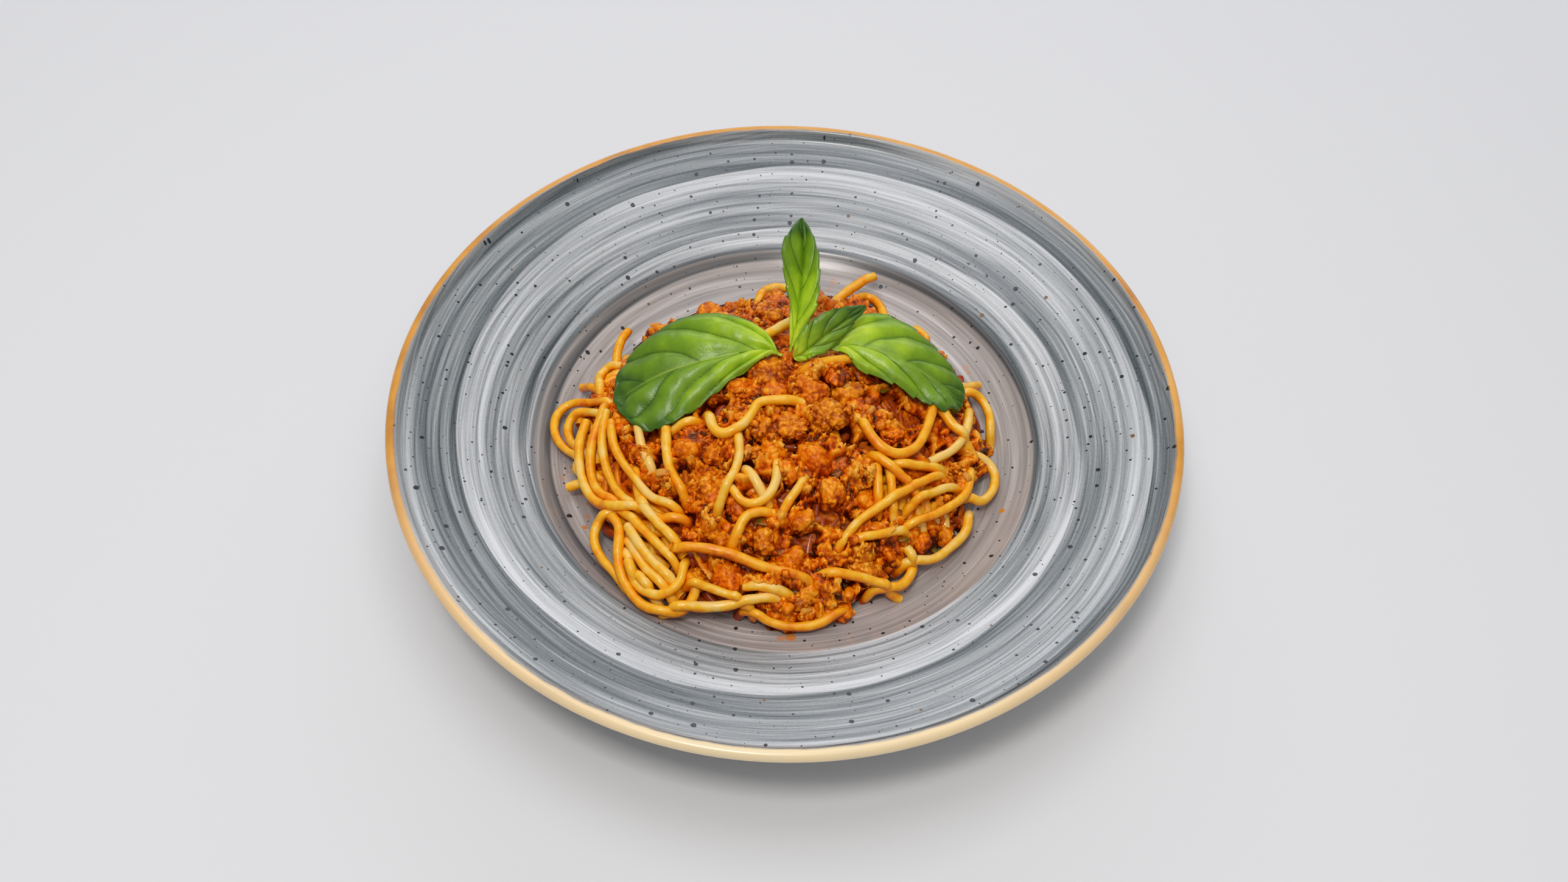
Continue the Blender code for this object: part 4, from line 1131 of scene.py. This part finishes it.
def sauce_top(x, y):
    """The sauce's upper face, which also keeps how high each corner stands on its crumb, with painted shade.
    """
    top, _, form = sauce_surface(x, y)
    level = top[..., 2]
    # Painted shade: the tone is lowered in pits and gaps, in hollows below the smoothed level, and under the
    # bed.
    crest_and_shade = 0.25 * form["dome"] + 0.15 * form["grain"] + 0.34 - 0.2 * np.clip(form["pit"], 0, 1)
    for passes, depth_mm in ((12, 1.6), (70, 3.5)):
        for _ in range(passes):
            level = (level + np.roll(level, 1, 0) + np.roll(level, -1, 0) + np.roll(level, 1, 1)
                     + np.roll(level, -1, 1)) / 5
        crest_and_shade = crest_and_shade + 0.32 * np.clip((top[..., 2] - level) / depth_mm, -1, 1)
    marks["crest_and_shade"] = crest_and_shade - DEEP_SHADE * np.clip(bed(x, y) - top[..., 2], 0, 4)
    marks["meat"] = meat_share(form)
    return top


verts, faces = layer(SAUCE_GRID, SAUCE_REACH, sauce_top, lambda x, y: np.maximum(
    plate_top(np.hypot(x, y)) + 0.4, bed(x, y) - 6.0))
tail = len(verts) - SAUCE_GRID**2
marks = {key: np.r_[np.ravel(value), np.zeros(tail)] for key, value in marks.items()}
meat_sauce = piece("meat_sauce_layer", verts, faces, sauce, ["meat_sauce"], marks)

# %% [markdown]
# ## Clumps and loose crumbs
# Minced meat cooks together into clumps, and on top of the layer lie crumbs that have come free. A crumb
# is a ball whose corners are moved in and out by noise. A handful of shapes is enough: each copy is
# turned and sized at random, all at once.


# %% Crumb shapes
def ball(subdivisions):
    """A ball of even triangles with radius 1."""
    made = bmesh.new()
    bmesh.ops.create_icosphere(made, subdivisions=subdivisions, radius=1.0)
    verts = np.array([v.co for v in made.verts])
    faces = np.array([[v.index for v in f.verts] for f in made.faces])
    made.free()
    return verts, faces


def turns(count, rng):
    """Random rotations: a unit quaternion for each, written out as a matrix."""
    q = rng.normal(size=(count, 4))
    w, x, y, z = (q / np.linalg.norm(q, axis=1)[:, None]).T
    return np.stack([1 - 2 * (y * y + z * z), 2 * (x * y - w * z), 2 * (x * z + w * y),
                     2 * (x * y + w * z), 1 - 2 * (x * x + z * z), 2 * (y * z - w * x),
                     2 * (x * z - w * y), 2 * (y * z + w * x), 1 - 2 * (x * x + y * y)], -1).reshape(-1, 3, 3)


def lumpy(verts, seed, size, amount, cell):
    """A ball whose radius is 1 + noise + domes of smaller crumbs; returns its corners and their crests."""
    at = verts * size + 17.0 * seed
    near, second, _ = crumb_cells(at, cell, 60 + seed)
    dome = np.sqrt(np.clip(1 - near**2, 0, 1)) * smoothstep(0, 0.25, second - near)
    radius = 1 + amount * soft_noise(at, size * 0.8, 70 + seed) + 0.30 * (dome - 0.6)
    return verts * radius[:, None], dome


def scatter(subdivisions, variants, centres, radii, rng, size, amount, cell):
    """Copies of a few lumpy balls, each turned, sized and set in its place, as one set of arrays."""
    verts, faces = ball(subdivisions)
    shapes, crests = zip(*[lumpy(verts, k, size, amount, cell) for k in range(variants)])
    pick = rng.integers(0, variants, len(centres))
    form = np.array(shapes)[pick] * rng.uniform(0.72, 1.2, (len(centres), 1, 3))
    placed = np.einsum("nij,nkj->nki", turns(len(centres), rng), form) * radii[:, None, None]
    placed = placed + centres[:, None]
    numbered = faces[None] + (np.arange(len(centres)) * len(verts))[:, None, None]
    return placed.reshape(-1, 3), numbered.reshape(-1, 3), np.array(crests)[pick].ravel()


print("the ball of a small crumb has %d faces" % len(ball(2)[1]))

# %% [markdown]
# ## Clumps of mince
# A clump is a flattened ball as wide as its dome in the layer below. Its face is pushed out by domes of
# two sizes, read at the clump's place in space, so no two clumps are alike, and it keeps clear of the
# strands in the same way as the layer does. A ball has undersides, which a raised layer can't have.

# %% Clumps of mince
SMALL_CLUMP, BACK_OF_HEAP = 9, 20  # mm: clumps less wide than this, or further back, get a coarser ball
rng = np.random.default_rng(21)


def clump_balls(table, subdivisions):
    """u -> centre + turn(u * radii) + u * (1.4 dome + 0.6 grain + 2 noise): corners, faces, crest, meat."""
    unit, faces = ball(subdivisions)
    count = len(table)
    level = sauce_form(table[None, :, 0], table[None, :, 1])[0]
    wide = table[:, 2:3] * rng.uniform(0.42, 0.72, (count, 2))
    radii = np.c_[wide, table[:, 3] * 0.85 + rng.uniform(0.8, 1.8, count)]
    yaw = rng.uniform(0, 2 * np.pi, count)
    flat = unit[None] * radii[:, None]
    turned = np.stack([flat[..., 0] * np.cos(yaw)[:, None] - flat[..., 1] * np.sin(yaw)[:, None],
                       flat[..., 0] * np.sin(yaw)[:, None] + flat[..., 1] * np.cos(yaw)[:, None],
                       flat[..., 2]], -1)
    out = turned / np.linalg.norm(turned, axis=-1, keepdims=True)
    points = turned + (level[0] - (0, 0, 0.6))[:, None]
    over = points[..., 2] - strand_room(points[..., 0], points[..., 1])[0]
    points[..., 2] -= np.clip(over.max(axis=1), 0, 4.5)[:, None]
    dome, grain = crumbs_at(points, 80)
    meat = np.clip(rng.uniform(-0.25, 1.2, count), 0, 1)[:, None]
    push = (0.5 + 0.5 * meat) * (1.4 * dome + 0.6 * grain - 1.1) + 2.0 * soft_noise(points, 5.0, 92)
    points = points + out * push[..., None]
    numbered = faces[None] + (np.arange(count) * len(unit))[:, None, None]
    # Painted light and shade: sides that face up are lighter, undersides and corners deep under the bed
    # darker.
    crest_and_shade = 0.06 + 0.45 * dome + 0.25 * grain + 0.30 * np.clip(out[..., 2], -1, 1)
    crest_and_shade -= DEEP_SHADE * np.clip(bed(points[..., 0], points[..., 1]) - points[..., 2], 0, 4)
    return points.reshape(-1, 3), numbered.reshape(-1, 3), crest_and_shade.ravel(), np.repeat(meat, len(unit))


coarse = (CLUMPS[:, 2] < SMALL_CLUMP) | (CLUMPS[:, 1] > BACK_OF_HEAP)
parts = [clump_balls(CLUMPS[~coarse], 5), clump_balls(CLUMPS[coarse], 4)]
verts, crest_and_shade, meat = (np.concatenate([part[k] for part in parts]) for k in (0, 2, 3))
faces = np.vstack([parts[0][1], parts[1][1] + len(parts[0][0])]).tolist()
clumps = piece("fused_mince_clumps", verts, faces, sauce, (),
               {"crest_and_shade": crest_and_shade, "meat": meat})

# %% Scatter the crumbs
NUBS, GRAINS = 300, 500
CRUMB_SHAPES = 10


def on_sauce(count, rng, spread):
    """Random places on the sauce, on the crowns of meat clumps; spread is the share that lies anywhere."""
    turn = rng.uniform(0, 2 * np.pi, count * 8)
    reach = around(SAUCE_REACH, turn) * np.sqrt(rng.uniform(0, 0.9, count * 8))
    x, y = HEAP_CENTRE[0] + reach * np.cos(turn), HEAP_CENTRE[1] + reach * np.sin(turn)
    top, normal, form = sauce_surface(x[None], y[None])
    weight = (form["meaty"] * smoothstep(0.3, 0.9, form["boulder"]))[0] * (1 - spread) + spread
    weight *= smoothstep(3.0, 0.5, sunk(x, y))
    kept = np.flatnonzero(rng.uniform(0, 1, len(x)) < weight)[:count]
    return top[0][kept], normal[0][kept], meat_share(form)[0][kept]


def crumb_layer(count, spread, low, high, sunk_share, subdivisions, size):
    """Crumbs of one kind: corners, faces, tone (domes, and painted light on the sides that face up) and share
    of meat.
    """
    centres, normals, meat = on_sauce(count, rng, spread)
    radii = rng.uniform(low, high, len(centres))
    seats = centres + normals * (radii * sunk_share)[:, None]
    verts, faces, domes = scatter(subdivisions, CRUMB_SHAPES, seats, radii, rng, size, 0.4, size * 0.6)
    each = len(verts) // len(centres)
    upward = (verts[:, 2] - np.repeat(centres[:, 2], each)) / np.repeat(radii, each)
    # Painted light: the sides of each crumb that face up are lighter.
    return verts, faces, 0.25 + 0.3 * domes + 0.3 * np.clip(upward, -1, 1), np.repeat(meat, each)


layers = [crumb_layer(NUBS, 0.1, 1.0, 2.0, -0.4, 2, 2.4), crumb_layer(GRAINS, 0.3, 0.5, 1.0, -0.1, 2, 1.6)]
verts, crest_and_shade, meat = (np.concatenate([part[k] for part in layers]) for k in (0, 2, 3))
before = np.cumsum([0] + [len(part[0]) for part in layers])
faces = np.vstack([part[1] + start for part, start in zip(layers, before)]).tolist()
crumbs = piece("loose_meat_crumbs", verts, faces, sauce, (),
               {"crest_and_shade": crest_and_shade, "meat": meat})
print("%d crumbs of %d faces each" % (NUBS + GRAINS, len(faces) // (NUBS + GRAINS)))

# %% [markdown]
# ## Onion, carrot, herbs and pepper
# A few soft pieces of vegetable and flakes of herb lie in the sauce, with coarse black pepper. Each is a
# ball pressed towards a box, |v|^0.6 on every axis, then turned and laid on the sauce.

# %% Bits in the sauce
# Place in mm, length, width, thickness and kind: 0 onion, 1 carrot, 2 herb, 3 pepper.
BITS = np.array([
    (-11, -24, 6, 3.2, 2.4, 0), (28, -5, 4, 2.4, 1.6, 0), (-38, -31, 5, 3, 2, 0),
    (45, -13, 4.5, 2.5, 2, 0), (-26, -57, 4, 2.6, 2, 0), (8, -70, 4, 3, 2.2, 0),
    (20, 4, 4.5, 2.5, 2, 0), (60, -20, 4, 2.4, 2, 0), (-17, -20, 5, 3.4, 2.6, 1),
    (7, -22, 6, 3.6, 2.8, 1), (22, -64, 4.5, 3.5, 2.6, 1), (2, -70, 4, 3, 2.4, 1),
    (-31, -38, 5, 3, 2.2, 1), (30, -44, 5, 3, 2.4, 1), (-6, -47, 4.5, 3, 0.8, 2),
    (37, -38, 4, 2.6, 0.8, 2), (50, -36, 3, 2, 0.7, 2), (39, -46, 3.6, 2.2, 0.8, 2),
    (52, -45, 3.4, 2, 0.7, 2), (60, -8, 3.6, 2, 0.7, 2), (12, -59, 3, 2, 0.7, 2),
    (34, 8, 4, 2.4, 0.8, 2), (-15, 20, 3, 2, 0.7, 2),
], float)
PEPPER = 40  # grains of pepper
rng = np.random.default_rng(34)
pepper_turn = rng.uniform(0, 2 * np.pi, PEPPER)
pepper_share = np.sqrt(rng.uniform(0.02, 0.8, PEPPER))
pepper_reach = around(SAUCE_REACH, pepper_turn) * pepper_share
pepper_size = rng.uniform(0.5, 1.1, (PEPPER, 3))
pepper = np.c_[HEAP_CENTRE + pepper_reach[:, None] * np.c_[np.cos(pepper_turn), np.sin(pepper_turn)],
               pepper_size, np.full(PEPPER, 3.0)]
BITS = np.vstack([BITS, pepper])
unit, ball_faces = ball(3)
boxy = np.sign(unit) * np.abs(unit) ** 0.6
seat, normal, _ = sauce_surface(BITS[None, :, 0], BITS[None, :, 1])
tilted = turns(len(BITS), rng)
flat_turn = rng.uniform(0, np.pi, len(BITS))
level_turn = np.zeros((len(BITS), 3, 3))
level_turn[:, 0, 0] = level_turn[:, 1, 1] = np.cos(flat_turn)
level_turn[:, 0, 1], level_turn[:, 1, 0] = -np.sin(flat_turn), np.sin(flat_turn)
level_turn[:, 2, 2] = 1
lie = np.where((BITS[:, 5] == 3)[:, None, None], tilted, level_turn)
form = boxy[None] * (BITS[:, None, 2:5] / 2) * (1 + 0.12 * soft_noise(unit * 3.0, 1.7, 5))[None, :, None]
placed = np.einsum("nij,nkj->nki", lie, form) + seat[0][:, None] + normal[0][:, None] * 0.5
numbered = ball_faces[None] + (np.arange(len(BITS)) * len(unit))[:, None, None]
bit, tree, shader = surface("onion_carrot_herb_and_pepper", Roughness=0.25, IOR=1.42,
                            Specular_Tint=(1.0, 0.74, 0.38, 1.0))
kind = add(tree, "Attribute", attribute_name="kind").outputs["Fac"]
swatches = add(tree, "ValToRGB", {0: kind}, stops=[(0.0, "#dc9838"), (0.25, "#f08400"), (0.5, "#56540e"),
                                                   (0.75, "#1c0e06")])
swatches.color_ramp.interpolation = "CONSTANT"
place = add(tree, "TexCoord").outputs["Object"]
patch = add(tree, "TexNoise", {"Vector": place, "Scale": 1 / 0.0025, "Detail": 3.0}).outputs["Fac"]
stained = add(tree, "MapRange", {"Value": patch, 1: 0.42, 2: 0.62, 3: 0.0, 4: 0.8}).outputs[0]
colour = add(tree, "Mix", {"Factor": stained, 6: swatches.outputs[0], 7: linear("#c05000")},
             data_type="RGBA").outputs[2]
tree.links.new(colour, shader.inputs["Base Color"])
piece("onion_carrot_herb_and_pepper_bits", placed.reshape(-1, 3), numbered.reshape(-1, 3).tolist(), bit,
      (), {"kind": np.repeat(BITS[:, 5] * 0.25 + 0.1, len(unit))})

# %% [markdown]
# ## The basil
# A leaf is a thin sheet: one parameter runs along its midrib, the other across. Half widths give the
# outline, small waves give the toothed margin, and the side veins are curves on which the sheet dips,
# with the leaf bulging between them. The midrib's points repeat those of the frame's leaves.

# %% Leaf shapes
LEAF_ROWS, LEAF_COLUMNS = 160, 60
LEAVES = {
    "basil_leaf_left": dict(
        midrib=[(-1.6, 12.6, 45.2), (-8, 14.2, 46.6), (-22, 11.2, 46.4), (-40, 7.4, 42.6), (-54, 4.0, 34.5),
                (-60.5, 3.0, 26.5)],
        across=[(0, 1, 0.15), (0, 1, 0.1), (-0.05, 1, 0), (-0.1, 1, -0.05)],
        front=(0.6, 1.5, 5.5, 9, 14, 19, 19, 14, 0.5), back=(0.6, 1.8, 12.5, 19, 22, 21.5, 19, 14.5, 0.5),
        fold=(-8, 6), curl=(0.22, 0.18), pairs=4.2, sweep=0.42, pucker=2.0, teeth=(14, 0.35),
        age_and_shade=0.04),
    "basil_leaf_upright": dict(
        midrib=[(0.8, 14.4, 45.4), (2.6, 22.6, 50.3), (3.8, 33, 56.5), (4.4, 45, 62.5), (3.2, 57, 67)],
        across=[(1, 0, 0), (1, 0, 0)],
        front=(0.6, 1.6, 3.2, 4.6, 8, 10.4, 11.2, 6.8, 0.5), back=(0.6, 1.4, 5, 8.2, 8.6, 8, 6.3, 3.8, 0.5),
        fold=(48, 42), curl=(0, 0), pairs=4.0, sweep=0.3, pucker=1.0, teeth=(9, 0.8),
        age_and_shade=-0.12),
    "basil_leaf_middle": dict(
        midrib=[(2.2, 11.4, 45.4), (8, 14.3, 48.2), (16, 20.5, 51.5), (26.5, 29.2, 53)],
        across=[(-0.45, 0.45, 0.77), (-0.45, 0.45, 0.77)],
        front=(0.6, 4, 4.8, 5.2, 4.8, 4.2, 3.4, 1.8, 0.5), back=(0.6, 3.6, 6, 7.2, 7.6, 7.2, 5.8, 3.4, 0.5),
        fold=(10, 10), curl=(0.1, 0.1), pairs=4.0, sweep=0.3, pucker=0.9, teeth=(10, 0.6),
        age_and_shade=0.06),
    "basil_leaf_right": dict(
        midrib=[(14.5, 16.9, 44.4), (23, 18.4, 45.8), (38, 15.2, 43.4), (51, 11.2, 37), (59, 8.5, 31),
                (62, 7.5, 26.5)],
        across=[(0, 1, 0.1), (0.1, 1, 0), (0.2, 1, -0.1), (0.3, 1, -0.2)],
        front=(0.6, 5, 8.5, 9, 9.3, 10, 10, 6, 0.5), back=(0.6, 8, 16, 17.5, 16, 13.5, 10.5, 6.5, 0.5),
        fold=(-10, 4), curl=(0.15, 0.12), pairs=4.6, sweep=0.36, pucker=1.4, teeth=(8, 1.3),
        age_and_shade=0.06),
}


def leaf_sheet(u, v, midrib, across, front, back, fold, curl, pairs, sweep, pucker, teeth, age_and_shade):
    """Midrib(u) + v * half width * side + lift: fold and curl as in the frame, plus teeth and pillows.

    A side vein is where pairs * (u - 0.1 - sweep * |v|^1.2) is a whole number, so veins leave the
    midrib aslant and bend towards the tip. Between two of them the leaf swells as |sin(pi * phase)|.
    """
    step = 0.001
    middle = through(midrib, u)
    along = through(midrib, np.clip(u + step, 0, 1)) - through(midrib, np.clip(u - step, 0, 1))
    along /= np.linalg.norm(along, axis=-1, keepdims=True)
    side = through(across, u)
    side = side - (side * along).sum(-1, keepdims=True) * along
    side /= np.linalg.norm(side, axis=-1, keepdims=True)
    up = np.cross(along, side)
    up *= np.where(up[..., 2:] < 0, -1.0, 1.0)
    width = np.where(v < 0, through(front, u)[..., 0], through(back, u)[..., 0])
    saw = (u * teeth[0] + 0.4 * np.sign(v)) % 1.0
    width = width + teeth[1] * (saw - 0.5) * np.abs(v) ** 6 * smoothstep(0.2, 0.4, u)
    lift = np.radians(np.where(v < 0, fold[0], fold[1]))
    bow = np.where(v < 0, curl[0], curl[1])
    crooked = 0.10 * soft_noise(middle + 12 * v[..., None], 9.0, 5)
    phase = pairs * (u - 0.1 - sweep * np.abs(v) ** 1.2) + np.where(v < 0, 0.0, 0.4) + crooked
    to_vein = np.abs((phase + 0.5) % 1.0 - 0.5)
    fade = smoothstep(1.0, 0.8, np.abs(v)) * smoothstep(0.03, 0.15, u) * smoothstep(1.0, 0.9, u)
    side_vein = np.exp(-((to_vein / 0.033) ** 2)) * fade
    mid_vein = np.exp(-((v * width / 0.45) ** 2))
    swell = np.sin(np.pi * to_vein) ** 0.75 * fade * smoothstep(0.0, 0.25, np.abs(v))
    crinkle = soft_noise(middle + (v * width)[..., None] * side, 2.6, 6) * smoothstep(0.0, 0.3, np.abs(v))
    rise = width * (np.abs(v) * np.sin(lift) - bow * v**2) + pucker * (swell - 0.5 + 0.12 * crinkle)
    rise = rise - 0.35 * mid_vein
    out = width * v * np.cos(lift)
    sheet = middle + out[..., None] * side + rise[..., None] * up
    rib = mid_vein * smoothstep(1.0, 0.6, u)
    # Painted shade: the tip past 0.8 of the length and the outer margins, which bend down, are made darker.
    aged_and_shaded = age_and_shade + u + 0.35 * smoothstep(0.8, 0.9, u) + 0.12 * smoothstep(0.6, 1.0, np.abs(v))
    return sheet, {"groove": side_vein * 0.9, "rib": rib, "age_and_shade": aged_and_shaded, "swell": swell}


lengths = [np.linalg.norm(np.diff(leaf["midrib"], axis=0), axis=1).sum() for leaf in LEAVES.values()]
print("%d leaves, %.0f to %.0f mm long" % (len(LEAVES), min(lengths), max(lengths)))

# %% [markdown]
# ## The look of basil
# A basil leaf is a satin green with a waxy top. Light comes through it, so it glows yellow-green where
# it is thin and young, near the stalk, and is a deeper green out to the tip. Painted shade darkens its
# grooves, its drooping tip and its bent-down margins, and a painted highlight lightens the pillows
# between the veins. The sheet keeps at each corner how old and how grooved it is, so the colours follow
# the veins exactly.

# %% Fresh basil leaf
basil, tree, shader = surface("fresh_basil_leaf", Roughness=0.32, IOR=1.45, Subsurface_Weight=0.15,
                              Subsurface_Radius=(0.5, 1.0, 0.1), Subsurface_Scale=0.001, Coat_Weight=0.1,
                              Coat_Roughness=0.25, Specular_IOR_Level=0.45)
place = add(tree, "TexCoord").outputs["Object"]
groove, rib, swell, age_and_shade = (add(tree, "Attribute", attribute_name=key).outputs["Fac"]
                           for key in ("groove", "rib", "swell", "age_and_shade"))
mottle = add(tree, "TexNoise", {"Vector": place, "Scale": 1 / 0.007, "Detail": 4.0}).outputs["Fac"]
# Painted light: the swollen pillows between the veins are made lighter, a painted highlight.
tone = -0.25
for part, weight in ((mottle, 0.7), (age_and_shade, 1.0), (swell, -0.2)):
    tone = add(tree, "Math", {0: part, 1: weight, 2: tone}, operation="MULTIPLY_ADD").outputs[0]
green = add(tree, "ValToRGB", {0: tone}, stops=[(0.0, "#cce038"), (0.22, "#a8ca22"), (0.5, "#7ca21c"),
                                                (1.0, "#42691a")]).outputs[0]
# Painted shade: the side veins' grooves are mixed towards a dark green.
sunken = add(tree, "Math", {0: groove, 1: 0.9}, operation="MULTIPLY").outputs[0]
green = add(tree, "Mix", {"Factor": sunken, 6: green, 7: linear("#2c520e")}, data_type="RGBA").outputs[2]
faded = add(tree, "Math", {0: rib, 1: 0.6}, operation="MULTIPLY").outputs[0]
green = add(tree, "Mix", {"Factor": faded, 6: green, 7: linear("#b5cf52")}, data_type="RGBA").outputs[2]
tree.links.new(green, shader.inputs["Base Color"])
fine = add(tree, "TexNoise", {"Vector": place, "Scale": 1 / 0.0009, "Detail": 2.0}).outputs["Fac"]
height = add(tree, "Math", {0: groove, 1: -1.6, 2: fine}, operation="MULTIPLY_ADD").outputs[0]
relief = add(tree, "Bump", {"Height": height, "Strength": 0.5, "Distance": 0.0002}).outputs[0]
tree.links.new(relief, shader.inputs["Normal"])
print("%s: %d nodes" % (basil.name, len(tree.nodes)))

# %% Grow the leaves
LEAF_THICKNESS = 0.45  # mm
LEAF_GAP, LEAF_LIFT = 0.2, 4.0  # mm that a leaf keeps above the food, and the most that it is lifted
LIFT_ROUNDS = 60  # each round spreads the lift by one row of corners, so the sheet stays smooth


def food_map(pieces, size=160):
    """The highest corner of all food in each square millimetre, grown by one square on every side."""
    highest = np.zeros((size, size))
    for food in pieces:
        corners = np.empty(len(food.data.vertices) * 3)
        food.data.vertices.foreach_get("co", corners)
        x, y, z = corners.reshape(-1, 3).T / MM
        i, k = (x + size / 2).astype(int), (y + size / 2).astype(int)
        inside = (i > 0) & (i < size - 1) & (k > 0) & (k < size - 1)
        np.maximum.at(highest, (i[inside], k[inside]), z[inside])
    grown = highest.copy()
    for di, dk in ((1, 0), (-1, 0), (0, 1), (0, -1)):
        grown = np.maximum(grown, np.roll(highest, (di, dk), (0, 1)))
    return grown


food_heights = food_map([outer, inner_strands, meat_sauce, clumps, crumbs])

for name, facts in LEAVES.items():
    u, v = np.meshgrid(np.linspace(0, 1, LEAF_ROWS), np.linspace(-1, 1, LEAF_COLUMNS + 1), indexing="ij")
    sheet, marks = leaf_sheet(u, v, **facts)
    row, column = ((sheet[..., :2] + len(food_heights) / 2).astype(int)).transpose(2, 0, 1)
    need = np.clip(food_heights[row, column] + LEAF_GAP - sheet[..., 2], 0, LEAF_LIFT)
    for _ in range(LIFT_ROUNDS):
        padded = np.pad(need, 1, mode="edge")
        around_it = (padded[:-2, 1:-1] + padded[2:, 1:-1] + padded[1:-1, :-2] + padded[1:-1, 2:]) / 4
        need = np.maximum(need, around_it)
    print(name, "is lifted by up to %.1f mm" % need.max())
    sheet[..., 2] += need
    faces = grid_faces(LEAF_ROWS, LEAF_COLUMNS + 1)
    middle = LEAF_COLUMNS // 2
    at = LEAF_ROWS // 4
    first = sheet[at, middle] - sheet[at - 1, middle]
    second = sheet[at, middle + 1] - sheet[at, middle]
    faces = (faces if np.cross(second, first)[2] > 0 else faces[:, ::-1]).tolist()
    leaf = piece("fresh_" + name, sheet.reshape(-1, 3), faces, basil, [name], marks)
    shell = leaf.modifiers.new("thickness", "SOLIDIFY")
    shell.thickness = LEAF_THICKNESS * MM
    shell.offset = 1.0

# %% [markdown]
# ## The table and the light
# A plain pale table, a roof window, a window behind the plate, and the light of a white room.

# %% Table and light
cloth, tree, shader = surface("pale_table", Roughness=0.9)
shader.inputs["Base Color"].default_value = linear("#e8e8e9")
bpy.ops.mesh.primitive_plane_add(size=20.0)
table = bpy.context.object
table.name = "table"
table.data.materials.append(cloth)
table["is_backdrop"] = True

bpy.context.scene.view_settings.view_transform = "Standard"
room = bpy.data.worlds.new("white_room")
room.use_nodes = True
room.node_tree.nodes["Background"].inputs["Color"].default_value = linear("#f8f8fa")
room.node_tree.nodes["Background"].inputs["Strength"].default_value = 0.25
bpy.context.scene.world = room


def window(name, place, size, power, swatch):
    """A flat soft light that faces the plate: place and size in metres."""
    light = bpy.data.lights.new(name, "AREA")
    light.shape = "RECTANGLE"
    light.size, light.size_y = size
    light.energy = power
    light.color = linear(swatch)[:3]
    lamp = bpy.data.objects.new(name, light)
    faces_plate = (-Vector(place)).to_track_quat("-Z", "Y").to_matrix().to_4x4()
    lamp.matrix_world = Matrix.Translation(place) @ faces_plate
    bpy.context.scene.collection.objects.link(lamp)


window("roof_window", (-0.1, 0.35, 1.5), (1.1, 0.9), 7.0, "#f2f6ff")
window("back_window", (0.2, 1.7, 0.75), (2.4, 0.8), 9.5, "#f4f8ff")
window("front_window", (0.15, -0.65, 1.5), (1.6, 0.9), 3.6, "#fffdfa")
window("lamp", (-0.16, -0.42, 1.3), (0.28, 0.28), 5.8, "#fffbf6")
print("lights:", ", ".join(sorted(light.name for light in bpy.data.lights)))

# %% The dressed scene's size
sizes = {"cad": [list(cad_low), list(cad_high)], "visual": [list(b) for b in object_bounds()]}
print("dressed box in mm:", [round((b - a) / MM, 1) for a, b in zip(*sizes["visual"])])
